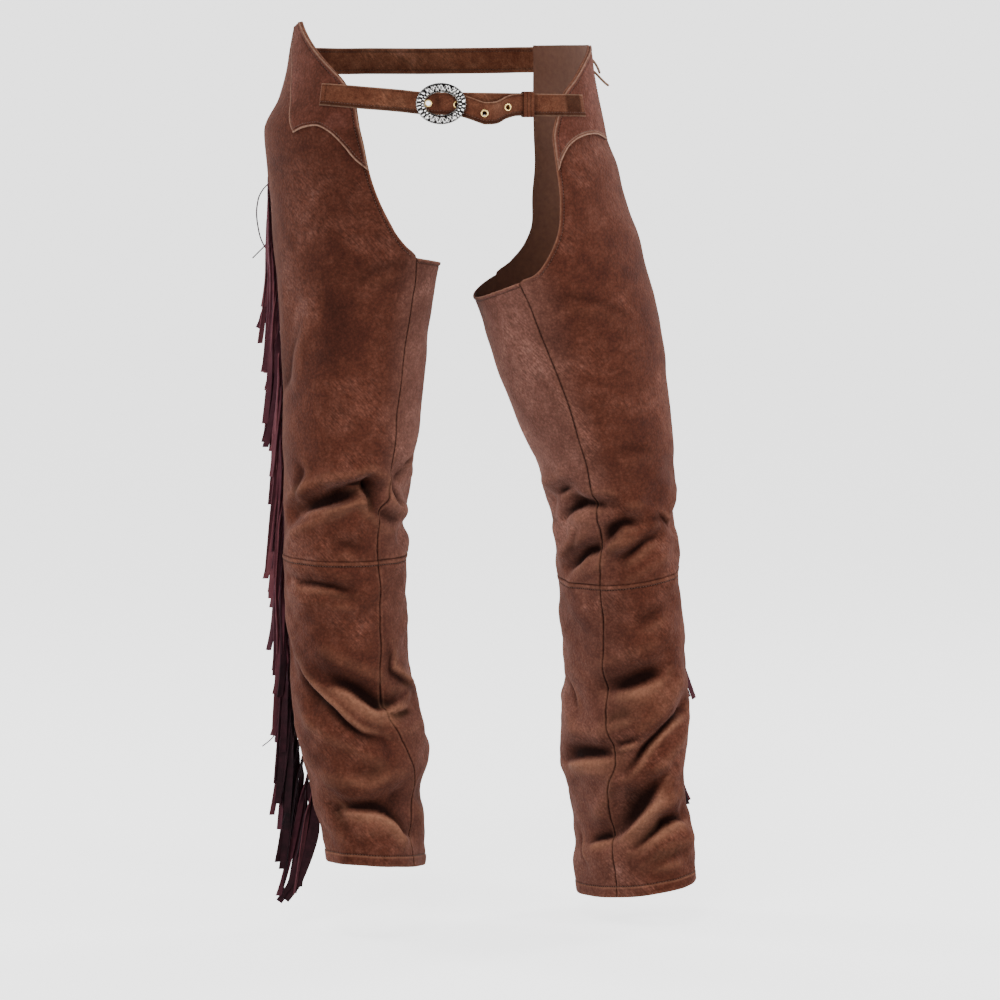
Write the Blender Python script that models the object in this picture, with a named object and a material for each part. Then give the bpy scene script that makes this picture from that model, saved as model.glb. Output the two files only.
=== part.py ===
"""Fringed leather chaps, worn and empty, in metres.

The origin is the centre of the waist at the height of the belt. +Z is up, the front faces -Y, and the
wearer's left leg is at +X. Each leg is a tube of leather walls on ellipse rings. A place on a leg is
an angle round the ring (0 front, 90 outside, 180 back, 270 inside) and a level, its height in
millimetres. Tables hold millimetres and degrees, and MM turns them to metres when a mesh is made.
"""

import bpy
import bmesh
import numpy as np
from mathutils import Vector

MM = 0.001

# Leather thicknesses and the gaps between pieces, in millimetres.
LEG_WALL = 2.0
YOKE_WALL = 1.6
STRAP_WALL = 2.0
LOOP_WALL = 1.8
STRIP_WALL = 1.2
STRAND_WALL = 1.3
LAP_GAP = 0.5
YOKE_GAP = 1.0
CLOSE_GAP = 0.3
SEAM_HALF_GAP = 0.2    # degrees on each side of a seam, 0.3 mm or more over the whole seam

SIDES = {"R": -1, "L": 1}

# Rings: level, centre x, centre y, half width, half depth, turn about the vertical.
RINGS = {
    "R": (
        (95, -80, 0, 82, 106, 0),
        (40, -85, 1, 87, 112, 0),
        (0, -85, 3, 97, 117, 0),
        (-38, -85, 7, 114, 122, 0),
        (-70, -85, 9, 111, 124, 0),
        (-110, -86, 10, 106, 123, 0),
        (-170, -95, 6, 94, 115, 0),
        (-207, -99, 2, 87, 109, -1),
        (-264, -103, -1, 81, 102, -2),
        (-322, -105, -4, 77, 96, -3),
        (-380, -109, -7, 75, 90, -4),
        (-437, -114, -9, 69, 84, -6),
        (-495, -116, -9, 68, 80, -8),
        (-553, -115, -4, 68, 80, -9),
        (-611, -111, 3, 66, 82, -10),
        (-670, -105, 8, 68, 84, -12),
        (-700, -99, 9, 72, 85, -13),
        (-728, -93, 10, 73, 86, -13),
        (-758, -90, 10, 70, 85, -14),
        (-787, -88, 9, 64, 85, -15),
        (-817, -85, 8, 60, 83, -15),
        (-846, -81, 6, 57, 82, -15),
        (-900, -79, 3, 53, 80, -15),
    ),
    "L": (
        (70, 80, 0, 84, 108, 0),
        (40, 84, 1, 85, 112, 0),
        (0, 85, 3, 91, 117, 0),
        (-48, 88, 8, 103, 123, 0),
        (-82, 92, 10, 113, 125, 0),
        (-116, 100, 10, 114, 123, 1),
        (-150, 114, 8, 113, 119, 1),
        (-184, 128, 5, 108, 113, 2),
        (-236, 148, 0, 101, 106, 2),
        (-264, 156, -1, 100, 102, 3),
        (-322, 168, -4, 94, 96, 6),
        (-380, 183, -7, 85, 90, 8),
        (-437, 196, -9, 73, 84, 11),
        (-495, 204, -9, 66, 80, 14),
        (-553, 211, -4, 64, 80, 16),
        (-611, 217, 3, 63, 82, 19),
        (-670, 223, 8, 60, 84, 22),
        (-728, 224, 10, 61, 86, 25),
        (-758, 221, 10, 59, 85, 26),
        (-787, 221, 9, 53, 85, 27),
        (-817, 225, 8, 47, 83, 28),
        (-846, 232, 6, 49, 82, 28),
        (-876, 235, 5, 55, 81, 28),
        (-945, 235, 3, 56, 80, 28),
    ),
}

# Front line: level, angle. The front seam up to the crotch, then the curved front opening edge.
FRONT_LINE = {
    "R": (
        (-900, -54),
        (-851, -53),
        (-787, -56),
        (-741, -42),
        (-702, -31),
        (-660, -27),
        (-610, -30),
        (-540, -29),
        (-500, -26),
        (-466, -26),
        (-444, -34),
        (-390, -31),
        (-342, -29),
        (-280, -31),
        (-220, -32),
        (-177, -27),
        (-162, -15),
        (-145, -5),
        (-112, 7),
        (-79, 13),
        (-46, 16),
        (-12, 21),
        (16, 31),
        (35, 44),
        (54, 58),
        (84, 81),
    ),
    "L": (
        (-945, -71),
        (-879, -75),
        (-845, -81),
        (-800, -74),
        (-760, -61),
        (-713, -67),
        (-672, -68),
        (-597, -59),
        (-551, -56),
        (-500, -50),
        (-440, -46),
        (-387, -41),
        (-336, -38),
        (-278, -40),
        (-207, -42),
        (-198, -30),
        (-183, -20),
        (-147, -4),
        (-114, 3),
        (-80, 6),
        (-47, 6),
        (-22, 10),
        (3, 17),
        (19, 28),
        (42, 46),
        (59, 69),
    ),
}

# Back line: level, angle. The back inside seam up to the crotch, then the curved seat opening edge.
BACK_LINE = {
    "R": (
        (-900, 224),
        (-700, 220),
        (-517, 217),
        (-300, 214),
        (-215, 211),
        (-177, 205),
        (-164, 190),
        (-148, 176),
        (-122, 164),
        (-85, 155),
        (-40, 149),
        (0, 146),
        (62, 143),
    ),
    "L": (
        (-945, 208),
        (-700, 209),
        (-551, 212),
        (-340, 213),
        (-245, 210),
        (-207, 204),
        (-192, 188),
        (-172, 174),
        (-142, 163),
        (-100, 155),
        (-45, 149),
        (0, 146),
        (62, 143),
    ),
}

# Outseam: level, angle. It drifts forward down the leg, because the rings turn with the foot.
OUTSEAM_LINE = {
    "R": ((-900, 100), (-704, 104), (-500, 110), (-260, 115), (95, 118)),
    "L": ((-945, 80), (-700, 84), (-500, 98), (-260, 113), (70, 118)),
}

# Cross planes of a leg: level, rise, and the angle that the rise points to.
PLANES = {
    "R": {"hem": (-880, 13, 15), "knee": (-516, 0, 0), "crotch": (-177, 0, 0)},
    "L": {"hem": (-924, 12, 40), "knee": (-549, 9, 90), "crotch": (-207, 0, 0)},
}
INSIDE_DIP = {"R": 9.0, "L": 20.0}    # how far the inside-leg panel's top edge sags between its seams

# Top edge levels at the front corner, at the outseam and at the back corner.
TOPS = {"R": (84, 70, 60), "L": (59, 60, 60)}

# Folds: first angle and level, second angle and level, half width, depth inwards.
FOLDS = {
    "R": (
        (66, -466, 20, -441, 11, 8.0),
        (20, -441, -10, -430, 9, 9.0),
        (-10, -430, -28, -440, 9, 8.0),
        (-22, -448, -30, -462, 8, 6.0),
        (70, -541, 2, -550, 9, 4.0),
        (32, -648, -20, -678, 15, 7.0),
        (88, -634, 40, -680, 14, 4.5),
        (40, -682, -22, -722, 14, 6.5),
        (-34, -694, -70, -690, 12, 6.0),
        (30, -800, -36, -794, 15, 7.0),
        (-36, -794, -54, -836, 13, 5.0),
        (70, -776, 18, -822, 16, 3.5),
        (66, -230, 80, -312, 12, 3.0),
        (-44, -420, -76, -452, 12, 5.0),
        (-64, -486, -104, -474, 13, 5.0),
        (-110, -560, -140, -590, 15, 4.0),
        (132, -498, 176, -488, 13, 6.5),
        (178, -522, 214, -506, 12, 6.0),
        (136, -566, 190, -584, 15, 5.0),
        (140, -300, 166, -380, 20, 4.0),
        (150, -690, 206, -664, 16, 5.5),
        (140, -760, 196, -742, 16, 6.0),
        (150, -830, 214, -812, 16, 5.0),
        (232, -700, 272, -726, 16, 5.0),
        (246, -806, 286, -790, 15, 5.0),
        (250, -250, 262, -330, 18, 3.5),
    ),
    "L": (
        (-98, -462, -66, -448, 11, 6.5),
        (-86, -480, -66, -464, 9, 6.0),
        (-66, -463, -30, -464, 9, 7.0),
        (-44, -486, -8, -483, 11, 6.5),
        (-40, -496, -62, -518, 9, 5.5),
        (-62, -518, -96, -543, 9, 5.0),
        (6, -505, -32, -526, 11, 5.5),
        (62, -468, 40, -490, 11, 5.5),
        (-66, -680, -10, -654, 15, 5.5),
        (-60, -746, -44, -735, 12, 4.5),
        (-57, -785, -30, -752, 13, 6.5),
        (-30, -752, 22, -700, 14, 7.0),
        (-108, -758, -64, -759, 12, 6.0),
        (-78, -850, -52, -811, 13, 6.5),
        (-52, -811, -20, -788, 14, 7.0),
        (-54, -864, -28, -842, 13, 5.5),
        (-28, -842, 14, -832, 14, 6.5),
        (-118, -866, -84, -860, 12, 3.5),
        (132, -500, 172, -512, 13, 6.5),
        (168, -538, 206, -520, 12, 6.0),
        (138, -590, 186, -604, 15, 5.0),
        (146, -330, 170, -400, 20, 4.0),
        (142, -700, 198, -680, 16, 5.5),
        (150, -776, 202, -760, 16, 6.0),
        (140, -850, 196, -832, 16, 5.0),
        (226, -680, 262, -700, 15, 4.5),
        (70, -600, 100, -640, 14, 3.5),
    ),
}
FOLD_ARC = 80.0        # a mean ring radius, which turns an angle into a distance round the leg
SEAM_CLEAR = 16.0      # degrees beside the outseam over which a fold dies out
HEM_CLEAR = 14.0       # millimetres above the hem over which a fold dies out

# Yoke: lower edge as angle and level, then outer edge as level and angle.
YOKE_LOWER = {
    "R": ((12, -81), (20, -68), (26, -53), (34, -38), (42, -32), (50, -34), (57, -39)),
    "L": ((8, -82), (12, -67), (17, -55), (24, -47), (32, -43), (40, -42), (57, -49)),
}
YOKE_OUTER = {
    "R": ((-39, 57), (5, 74), (45, 84), (78, 91)),
    "L": ((-49, 57), (0, 71), (35, 78), (57, 82)),
}

# Belt strap R: x, outward distance from the belt line, height. It runs over the bar to the tail.
STRAP_HIGH = 24.6
STRAP_STEPS = 38
BUCKLE_X = -34.5
STRAP_R_FREE = (
    (-96, 3.2, -1.9),
    (-74, 3.8, -4.0),
    (-56, 6.2, -6.0),
    (-45, 8.6, -6.5),
    (-34.5, 9.4, -6.8),
    (-24, 8.8, -7.2),
    (-12, 7.4, -8.6),
    (2, 9.6, -13.0),
    (16, 13.5, -17.5),
    (28, 11.0, -16.5),
    (40, 5.8, -11.5),
    (54, 4.0, -8.2),
    (73, 3.9, -7.6),
)
STRAP_R_ON_YOKE = ((48, 2.0), (43, 1.9), (38, 1.6), (32, 1.0), (27, 0.4), (22, -0.2), (17, -0.9))     # angle, height

# Belt strap L: the same columns, from the yoke round the buckle's bar and back on itself.
STRAP_L_ON_YOKE = ((37, -10.0), (32, -9.8), (27, -9.5), (21, -9.2), (15, -9.0), (9, -8.8))
STRAP_L_FREE = (
    (86, 3.0, -8.4),
    (72, 1.6, -7.8),
    (40, 1.4, -7.4),
    (4, 1.4, -7.0),
    (-16, 1.4, -6.8),
    (-30, 1.4, -6.8),
)
BAR_OUT = 4.2
BAR_HALF_THICK = 1.2
STRAP_L_RETURN = ((-26, 6.1, -6.8), (-16, 4.3, -6.8), (-6, 3.7, -6.9))

# Belt line: x and y of the inner face of the belt where no leg panel lies under it.
BELT_LINE = ((-112, -110), (-74, -121), (-34, -126), (4, -126), (44, -123), (72, -119.5), (94, -115), (106, -111))

# Buckle, in its own plane.
RING_MID_WIDE = 23.4
RING_MID_HIGH = 17.6
RING_BAND = 5.0        # half width of the band
RING_BACK = 10.7       # outward distance of the ring's flat back from the belt line
RING_DEEP = 4.4
RING_EDGE = 2.0        # depth of the ring at its two rims, where its crown starts
RING_CROWN = 2.4       # half width of the crown's flat
BUCKLE_HEIGHT = -6.8
BAR_HALF_HIGH = 15.6
BAR_BITE = 1.5         # how far the bar's ends run into the ring
BAR_CORNER = 1.42      # a square rod's corner, in half widths
LOOP_STEPS = 8
EYELET_ARCS = (-13.5, 18.8, 51.1, 83.4)
EYELET_LIFT = 0.5
EYELET_HOLE = 2.6
EYELET_FLANGE = 4.4
EYELET_CROWN = 4.1
EYELET_BARREL = 3.3
FLANGE_DEEP = 0.7
EYELET_SIDES = 10
CUT_DEPTH = 12

# Belt keeper round strap and tail.
KEEPER_X = (61.0, 74.0)
KEEPER_WALL = 1.2
KEEPER_HEIGHT = -7.7
KEEPER_STRAPS = (1.4, 4.0)    # how far strap L and the tail over it lie from the belt line there

# Fringe: level of the first and last root for each leg, and the lowest tip.
FRINGE_LEVELS = {"R": (-90, -800, -926), "L": (-104, -842, -940)}
FRINGE_ROWS = 18
LANES = (-1, 0, 1)
LANE_ROOT = 3.6
LANE_HANG = 8.6
ROOT_HALF = 1.3
HANG_HALF = 3.4
ROOT_HIGH = 3.0
STRIP_EDGE = 0.7
STRIP_END = 8.0        # how far the strip runs on past its first and last root
STRIP_GAP = 0.8
FAN_DROP = 30.0
HANG_SLOPE = {"R": 0.098, "L": 0.06}
FLARES = {"R": {15: 0.05, 16: 0.1, 17: 0.2}, "L": {10: 0.06, 13: 0.06}}    # root row: slope added
CLING_LEVEL = -480.0   # above this level a strand follows the leather
CLING_FADE = 160.0
STRAND_LENGTH = (128, 192)
SWAY = 4.0
SWAY_WAVE = 46.0
SWAY_FADE = 90.0

# Back band: angle and height on each leg, and x, y, height across the back.
BAND_HIGH = 30.0
BAND_STEPS = 30
BAND_ON_R = ((126, 41.0), (132, 41.0), (138, 41.0), (144, 41.2), (150, 41.3))
BAND_ACROSS = ((-92, 111, 41.5), (-50, 119, 42.0), (0, 122, 42.0), (50, 119, 42.5), (92, 111, 43.0))
BAND_ON_L = ((150, 43.0), (144, 43.0), (136, 43.5), (128, 44.0), (120, 44.0), (112, 44.0), (104, 44.0))

# Lace at the wearer's left side.
LACE_THICK = 2.8
LACE_TIE = ((111, 51), (107, 52), (102, 52), (97, 50), (95, 46), (98, 42), (102, 41))    # angle, level
LACE_TIE_LIFT = (6.5, 6.6, 6.6, 4.8, 4.2, 5.4, 7.0)
LACE_KNOT = (103, 36, 7.8)
KNOT_RADII = (3.6, 3.2, 3.0)
LACE_END_LOW = ((0, 0, 0), (6, -2, -3), (12, -3, -8), (18, -3, -14), (24, -1, -19), (29, 2, -22))
LACE_END_SHORT = ((0, 0, 0), (4, 3, 5), (9, 7, 6), (15, 10, 2), (20, 11, -5), (23, 11, -12))

# Leather, brass and silver colours, as sRGB hex values.
SUEDE_BROWN = "6e4632"
SUEDE_YOKE = "744a35"
FRINGE_BROWN = "3b2226"
BELT_BROWN = "6a402c"
THONG_TAN = "8a6547"
BRASS_YELLOW = "b8964e"
SILVER_GREY = "b9b9bb"


def linear_colour(hex_value):
    """An sRGB hex value as a linear colour with full alpha."""
    parts = [int(hex_value[k:k + 2], 16) / 255 for k in (0, 2, 4)]
    line = [c / 12.92 if c <= 0.04045 else ((c + 0.055) / 1.055) ** 2.4 for c in parts]
    return (*line, 1.0)


def make_material(name, hex_value, roughness, metallic=0.0):
    """A plain Principled material."""
    material = bpy.data.materials.new(name)
    material.use_nodes = True
    shader = material.node_tree.nodes["Principled BSDF"]
    shader.inputs["Base Color"].default_value = linear_colour(hex_value)
    shader.inputs["Roughness"].default_value = roughness
    shader.inputs["Metallic"].default_value = metallic
    return material


def smooth_through(xs, ys, at):
    """A curve through the points (xs, ys): a cubic between each two, which never swings past a point.

    The slope at a point is the harmonic mean of the slopes on its two sides, or 0 at a peak.
    """
    xs = np.asarray(xs, float)
    ys = np.asarray(ys, float)
    at = np.clip(np.asarray(at, float), xs[0], xs[-1])
    side = np.diff(ys) / np.diff(xs)
    same = side[1:] * side[:-1] > 0
    total = np.where(same, side[1:] + side[:-1], 1.0)
    slopes = np.concatenate([side[:1], np.where(same, 2 * side[1:] * side[:-1] / total, 0.0), side[-1:]])
    i = np.clip(np.searchsorted(xs, at, side="right") - 1, 0, len(xs) - 2)
    span = xs[i + 1] - xs[i]
    t = (at - xs[i]) / span
    start = (2 * t**3 - 3 * t**2 + 1) * ys[i] + (t**3 - 2 * t**2 + t) * span * slopes[i]
    return start + (3 * t**2 - 2 * t**3) * ys[i + 1] + (t**3 - t**2) * span * slopes[i + 1]


def line_angle(table, level):
    """The angle of a seam or edge line at a level."""
    rows = np.array(table, float)
    return smooth_through(rows[:, 0], rows[:, 1], level)


def ring_point(leg, angle, level):
    """A point of the leg's plain form, in millimetres: an ellipse ring, turned, at the level."""
    rows = np.array(RINGS[leg], float)[::-1]
    x, y, wide, deep, turn = (smooth_through(rows[:, 0], rows[:, k], level) for k in range(1, 6))
    round_leg = np.radians(angle)
    a = np.radians(turn)
    across = SIDES[leg] * wide * np.sin(round_leg)
    along = -deep * np.cos(round_leg)
    return np.stack(
        [
            x + across * np.cos(a) - along * np.sin(a),
            y + across * np.sin(a) + along * np.cos(a),
            level + 0 * across,
        ],
        -1,
    )


def unit(vectors):
    return vectors / np.linalg.norm(vectors, axis=-1, keepdims=True)


def outward(leg, angle, level):
    """The unit normal of the plain form, from two short steps on it."""
    step_round = ring_point(leg, angle + 0.5, level) - ring_point(leg, angle - 0.5, level)
    step_up = ring_point(leg, angle, level + 2) - ring_point(leg, angle, level - 2)
    return SIDES[leg] * unit(np.cross(step_round, step_up))


def plane_level(leg, plane, angle):
    """The level of a cross plane at an angle."""
    level, rise, toward = PLANES[leg][plane]
    return level + rise * np.cos(np.radians(angle - toward))


def fold_depth(leg, angle, level):
    """How far folds push the leather in: soft troughs with a low ridge on each side, tapered at both ends."""
    inwards = np.zeros(np.broadcast(angle, level).shape)
    for angle_a, level_a, angle_b, level_b, half_width, depth in FOLDS[leg]:
        turn = (np.asarray(angle) - angle_a + 180) % 360 - 180
        across = np.radians(turn) * FOLD_ARC
        up = level - level_a
        run_across = np.radians((angle_b - angle_a + 180) % 360 - 180) * FOLD_ARC
        run_up = level_b - level_a
        length = np.hypot(run_across, run_up)
        along = (across * run_across + up * run_up) / length
        beside = (up * run_across - across * run_up) / length / half_width
        past = np.maximum(0, np.maximum(-along, along - length)) / half_width
        trough = np.exp(-beside**2) - 0.38 * np.exp(-((np.abs(beside) - 1.9) / 0.75) ** 2)
        inwards = inwards + depth * trough * np.exp(-past**2 * 0.8)
    seam = line_angle(OUTSEAM_LINE[leg], level)
    off_seam = np.abs((np.asarray(angle) - seam + 180) % 360 - 180) / SEAM_CLEAR
    off_hem = (level - plane_level(leg, "hem", angle)) / HEM_CLEAR
    return inwards * np.clip(off_seam - 0.5, 0, 1) * np.clip(off_hem, 0, 1)


def leg_surface(leg, angle, level, lift):
    """A point of the folded leather, lifted along the normal of the plain form, in millimetres."""
    push = lift - fold_depth(leg, angle, level)
    return ring_point(leg, angle, level) + outward(leg, angle, level) * np.asarray(push)[..., None]


def new_object(name, points, faces, material, smooth_angle=40):
    """An object with these points, in millimetres, and faces, turned to face out."""
    mesh = bpy.data.meshes.new(name)
    mesh.from_pydata([tuple(p) for p in np.asarray(points) * MM], [], faces)
    work = bmesh.new()
    work.from_mesh(mesh)
    bmesh.ops.triangulate(work, faces=work.faces)
    bmesh.ops.recalc_face_normals(work, faces=work.faces)
    work.to_mesh(mesh)
    work.free()
    mesh.shade_smooth()
    mesh.set_sharp_from_angle(angle=np.radians(smooth_angle))
    mesh.materials.append(material)
    item = bpy.data.objects.new(name, mesh)
    bpy.context.scene.collection.objects.link(item)
    return item


def wall(name, outer, inner, material):
    """A closed wall between two grids of points, each of rows by columns."""
    rows, columns = outer.shape[:2]
    number = np.arange(rows * columns).reshape(rows, columns)
    under = number + rows * columns
    faces = []
    for r in range(rows - 1):
        for c in range(columns - 1):
            faces.append((number[r, c], number[r, c + 1], number[r + 1, c + 1], number[r + 1, c]))
            faces.append((under[r, c], under[r + 1, c], under[r + 1, c + 1], under[r, c + 1]))
    rim = [*number[0, :-1], *number[:-1, -1], *number[-1, :0:-1], *number[:0:-1, 0]]
    for k, here in enumerate(rim):
        after = rim[(k + 1) % len(rim)]
        faces.append((after, here, here + rows * columns, after + rows * columns))
    points = np.concatenate([outer.reshape(-1, 3), inner.reshape(-1, 3)])
    return new_object(name, points, [tuple(int(i) for i in f) for f in faces], material)


def leg_wall(name, leg, angle, level, base, thickness, material):
    """A leather wall on the leg, its inner face at base above the leg's form."""
    outer = leg_surface(leg, angle, level, base + thickness)
    inner = leg_surface(leg, angle, level, np.full(angle.shape, float(base)))
    return wall(name, outer, inner, material)


def between(a, b, share):
    return a + (b - a) * share


def band_grid(leg, left, right, low, high, steps, columns):
    """Angles and levels of a panel between two lines, and between two cross planes, at steps of the way up."""
    share_up = np.asarray(steps, float)[:, None]
    share_across = np.linspace(0, 1, columns + 1)[None, :]
    middle = between(PLANES[leg][low][0], PLANES[leg][high][0], share_up)
    edges = []
    for line, inset in ((left, SEAM_HALF_GAP), (right, -SEAM_HALF_GAP)):
        edges.append(line_angle(line, middle) + inset)
    angle = between(edges[0], edges[1], share_across)
    level = between(plane_level(leg, low, angle), plane_level(leg, high, angle), share_up)
    return angle, level


def turned_back(table):
    """A front line read from behind the leg: its angles raised by a whole turn."""
    return tuple((level, angle + 360) for level, angle in table)


def upper_grid(leg, line, corner_top, rows, columns, front):
    """Angles and levels above the crotch, between the outseam and an opening edge."""
    share_up = np.linspace(0, 1, rows + 1)[1:, None]
    share_across = np.linspace(0, 1, columns + 1)[None, :]
    base = PLANES[leg]["crotch"][0]
    edge = line_angle(line, between(base, corner_top, share_up))
    seam_top = TOPS[leg][1]
    inset = -SEAM_HALF_GAP if front else SEAM_HALF_GAP
    seam = line_angle(OUTSEAM_LINE[leg], between(base, seam_top, share_up))
    angle = between(seam + inset, edge, share_across)
    level = base + between(seam_top, corner_top, share_across) * share_up - base * share_up
    return angle, level


LOWER_ROWS = 14
UPPER_ROWS = 11
SHIN_ROWS = 17
FRONT_COLUMNS = 11
BACK_COLUMNS = 7
INNER_COLUMNS = 6
KNEE_SEAM_HALF = 0.0006    # share of the shin or thigh that each side of the knee seam gives up


def thigh_steps():
    """Shares of the way from knee to crotch, closer together near the knee, where the folds are."""
    steps = np.linspace(0, 1, LOWER_ROWS + 1) ** 1.35
    steps[0] = KNEE_SEAM_HALF
    return steps


def shin_steps():
    steps = np.linspace(0, 1, SHIN_ROWS + 1)
    steps[-1] = 1 - KNEE_SEAM_HALF
    return steps


def make_leg(leg, suede):
    """The six panels of one leg."""
    front = FRONT_LINE[leg]
    back = BACK_LINE[leg]
    outseam = OUTSEAM_LINE[leg]
    corner_top, _, back_top = TOPS[leg]

    low_angle, low_level = band_grid(leg, front, outseam, "knee", "crotch", thigh_steps(), FRONT_COLUMNS)
    high_angle, high_level = upper_grid(leg, front, corner_top, UPPER_ROWS, FRONT_COLUMNS, True)
    angle = np.concatenate([low_angle[:, ::-1], high_angle])
    level = np.concatenate([low_level[:, ::-1], high_level])
    leg_wall(f"thigh_front_{leg}", leg, angle, level, 0, LEG_WALL, suede)

    low_angle, low_level = band_grid(leg, outseam, back, "knee", "crotch", thigh_steps(), BACK_COLUMNS)
    high_angle, high_level = upper_grid(leg, back, back_top, UPPER_ROWS, BACK_COLUMNS, False)
    angle = np.concatenate([low_angle, high_angle])
    level = np.concatenate([low_level, high_level])
    leg_wall(f"thigh_back_{leg}", leg, angle, level, 0, LEG_WALL, suede)

    angle, level = band_grid(leg, back, turned_back(front), "knee", "crotch", thigh_steps(), INNER_COLUMNS)
    sag = np.sin(np.linspace(0, np.pi, INNER_COLUMNS + 1))[None, :] * np.linspace(0, 1, LOWER_ROWS + 1)[:, None] ** 4
    leg_wall(f"thigh_inner_{leg}", leg, angle, level - INSIDE_DIP[leg] * sag, 0, LEG_WALL, suede)

    angle, level = band_grid(leg, front, outseam, "hem", "knee", shin_steps(), FRONT_COLUMNS)
    leg_wall(f"shin_front_{leg}", leg, angle, level, 0, LEG_WALL, suede)
    angle, level = band_grid(leg, outseam, back, "hem", "knee", shin_steps(), BACK_COLUMNS)
    leg_wall(f"shin_back_{leg}", leg, angle, level, 0, LEG_WALL, suede)
    angle, level = band_grid(leg, back, turned_back(front), "hem", "knee", shin_steps(), INNER_COLUMNS)
    leg_wall(f"shin_inner_{leg}", leg, angle, level, 0, LEG_WALL, suede)


def make_yoke(leg, material, columns=8, rows=8):
    """The hip patch: from its curved lower edge up to the waist corner, on the front panel."""
    share_up = np.linspace(0, 1, rows + 1)[:, None]
    share_in = np.linspace(0, 1, columns + 1)[None, :]
    lower = np.array(YOKE_LOWER[leg], float)
    outer = np.array(YOKE_OUTER[leg], float)
    front_level = between(lower[0, 1] + 1.0, TOPS[leg][0] - 1.0, share_up)
    outer_level = between(outer[0, 0], outer[-1, 0], share_up)
    front_angle = line_angle(FRONT_LINE[leg], front_level) + 0.4
    outer_angle = smooth_through(outer[:, 0], outer[:, 1], outer_level)
    angle = between(outer_angle, front_angle, share_in)
    straight = between(outer_level, front_level, share_in)
    bottom = between(lower[-1, 0], lower[0, 0], share_in)
    bend = smooth_through(lower[:, 0], lower[:, 1], bottom) - between(lower[-1, 1], lower[0, 1], share_in)
    level = straight + bend * (1 - share_up) ** 1.5
    leg_wall(f"yoke_{leg}", leg, angle, level, LEG_WALL + YOKE_GAP, YOKE_WALL, material)


def path_curve(points, count):
    """A smooth curve through points in space, read at equal shares of its length."""
    points = np.asarray(points, float)
    at = np.concatenate([[0], np.cumsum(np.linalg.norm(np.diff(points, axis=0), axis=1))])
    fine = np.linspace(0, at[-1], 40 * len(points))
    curve = np.stack([smooth_through(at, points[:, k], fine) for k in range(points.shape[1])], -1)
    run = np.concatenate([[0], np.cumsum(np.linalg.norm(np.diff(curve[:, :3], axis=0), axis=1))])
    even = np.linspace(0, run[-1], count)
    return np.stack([np.interp(even, run, curve[:, k]) for k in range(points.shape[1])], -1), run[-1]


def belt_place(x, out, height):
    """A point in front of the belt line, out millimetres along its level normal."""
    rows = np.array(BELT_LINE, float)
    y = smooth_through(rows[:, 0], rows[:, 1], x)
    slope = smooth_through(rows[:, 0], rows[:, 1], x + 1) - smooth_through(rows[:, 0], rows[:, 1], x - 1)
    normal = unit(np.array([slope / 2, -1.0]))
    return (x + out * normal[0], y + out * normal[1], height)


def on_leg_strap(leg, places, high, lift):
    """Middle of a strap lying on a leg, with the lean of its face: six numbers a row."""
    found = []
    for angle, height in places:
        low = leg_surface(leg, np.array(float(angle)), np.array(height - high / 2), lift)
        top = leg_surface(leg, np.array(float(angle)), np.array(height + high / 2), lift)
        found.append((*((low + top) / 2), *unit(top - low)))
    return found


def upright(points):
    return [(*p, 0.0, 0.0, 1.0) for p in points]


def strap(name, path, high, thickness, material):
    """A flat strap along a path whose rows hold its middle and the way up its face."""
    middle = path[:, :3]
    up = unit(path[:, 3:])
    run = np.gradient(middle, axis=0)
    face = unit(np.cross(run, up))
    outer = np.stack([middle + face * thickness / 2 + up * high / 2 * s for s in (-1, 1)], 1)
    inner = np.stack([middle - face * thickness / 2 + up * high / 2 * s for s in (-1, 1)], 1)
    return wall(name, outer, inner, material)


def make_ring(name, centre, direction, profile_points, material):
    """A round eyelet: a closed profile of (radius, height) pairs turned about a direction."""
    axis = Vector(direction).normalized()
    turn = Vector((0, 0, 1)).rotation_difference(axis)
    steps = EYELET_SIDES
    points = []
    for k in range(steps):
        a = 2 * np.pi * k / steps
        for radius, height in profile_points:
            spot = Vector((radius * np.cos(a), radius * np.sin(a), height))
            points.append(tuple(turn @ spot + Vector(centre)))
    size = len(profile_points)
    faces = []
    for k in range(steps):
        for j in range(size):
            here, after = k * size, (k + 1) % steps * size
            faces.append((here + j, here + (j + 1) % size, after + (j + 1) % size, after + j))
    return new_object(name, points, faces, material)


def cut_hole(item, centre, direction, radius, depth):
    """Cuts a round hole through an object with a hidden cutter."""
    bpy.ops.mesh.primitive_cylinder_add(vertices=EYELET_SIDES, radius=radius * MM, depth=depth * MM)
    cutter = bpy.context.object
    cutter.name = f"cutter_{item.name}_{len(item.modifiers)}"
    cutter.location = Vector(centre) * MM
    cutter.rotation_euler = Vector((0, 0, 1)).rotation_difference(Vector(direction)).to_euler()
    cutter.hide_render = True
    cutter.display_type = "WIRE"
    cut = item.modifiers.new("hole", "BOOLEAN")
    cut.operation = "DIFFERENCE"
    cut.object = cutter


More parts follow.
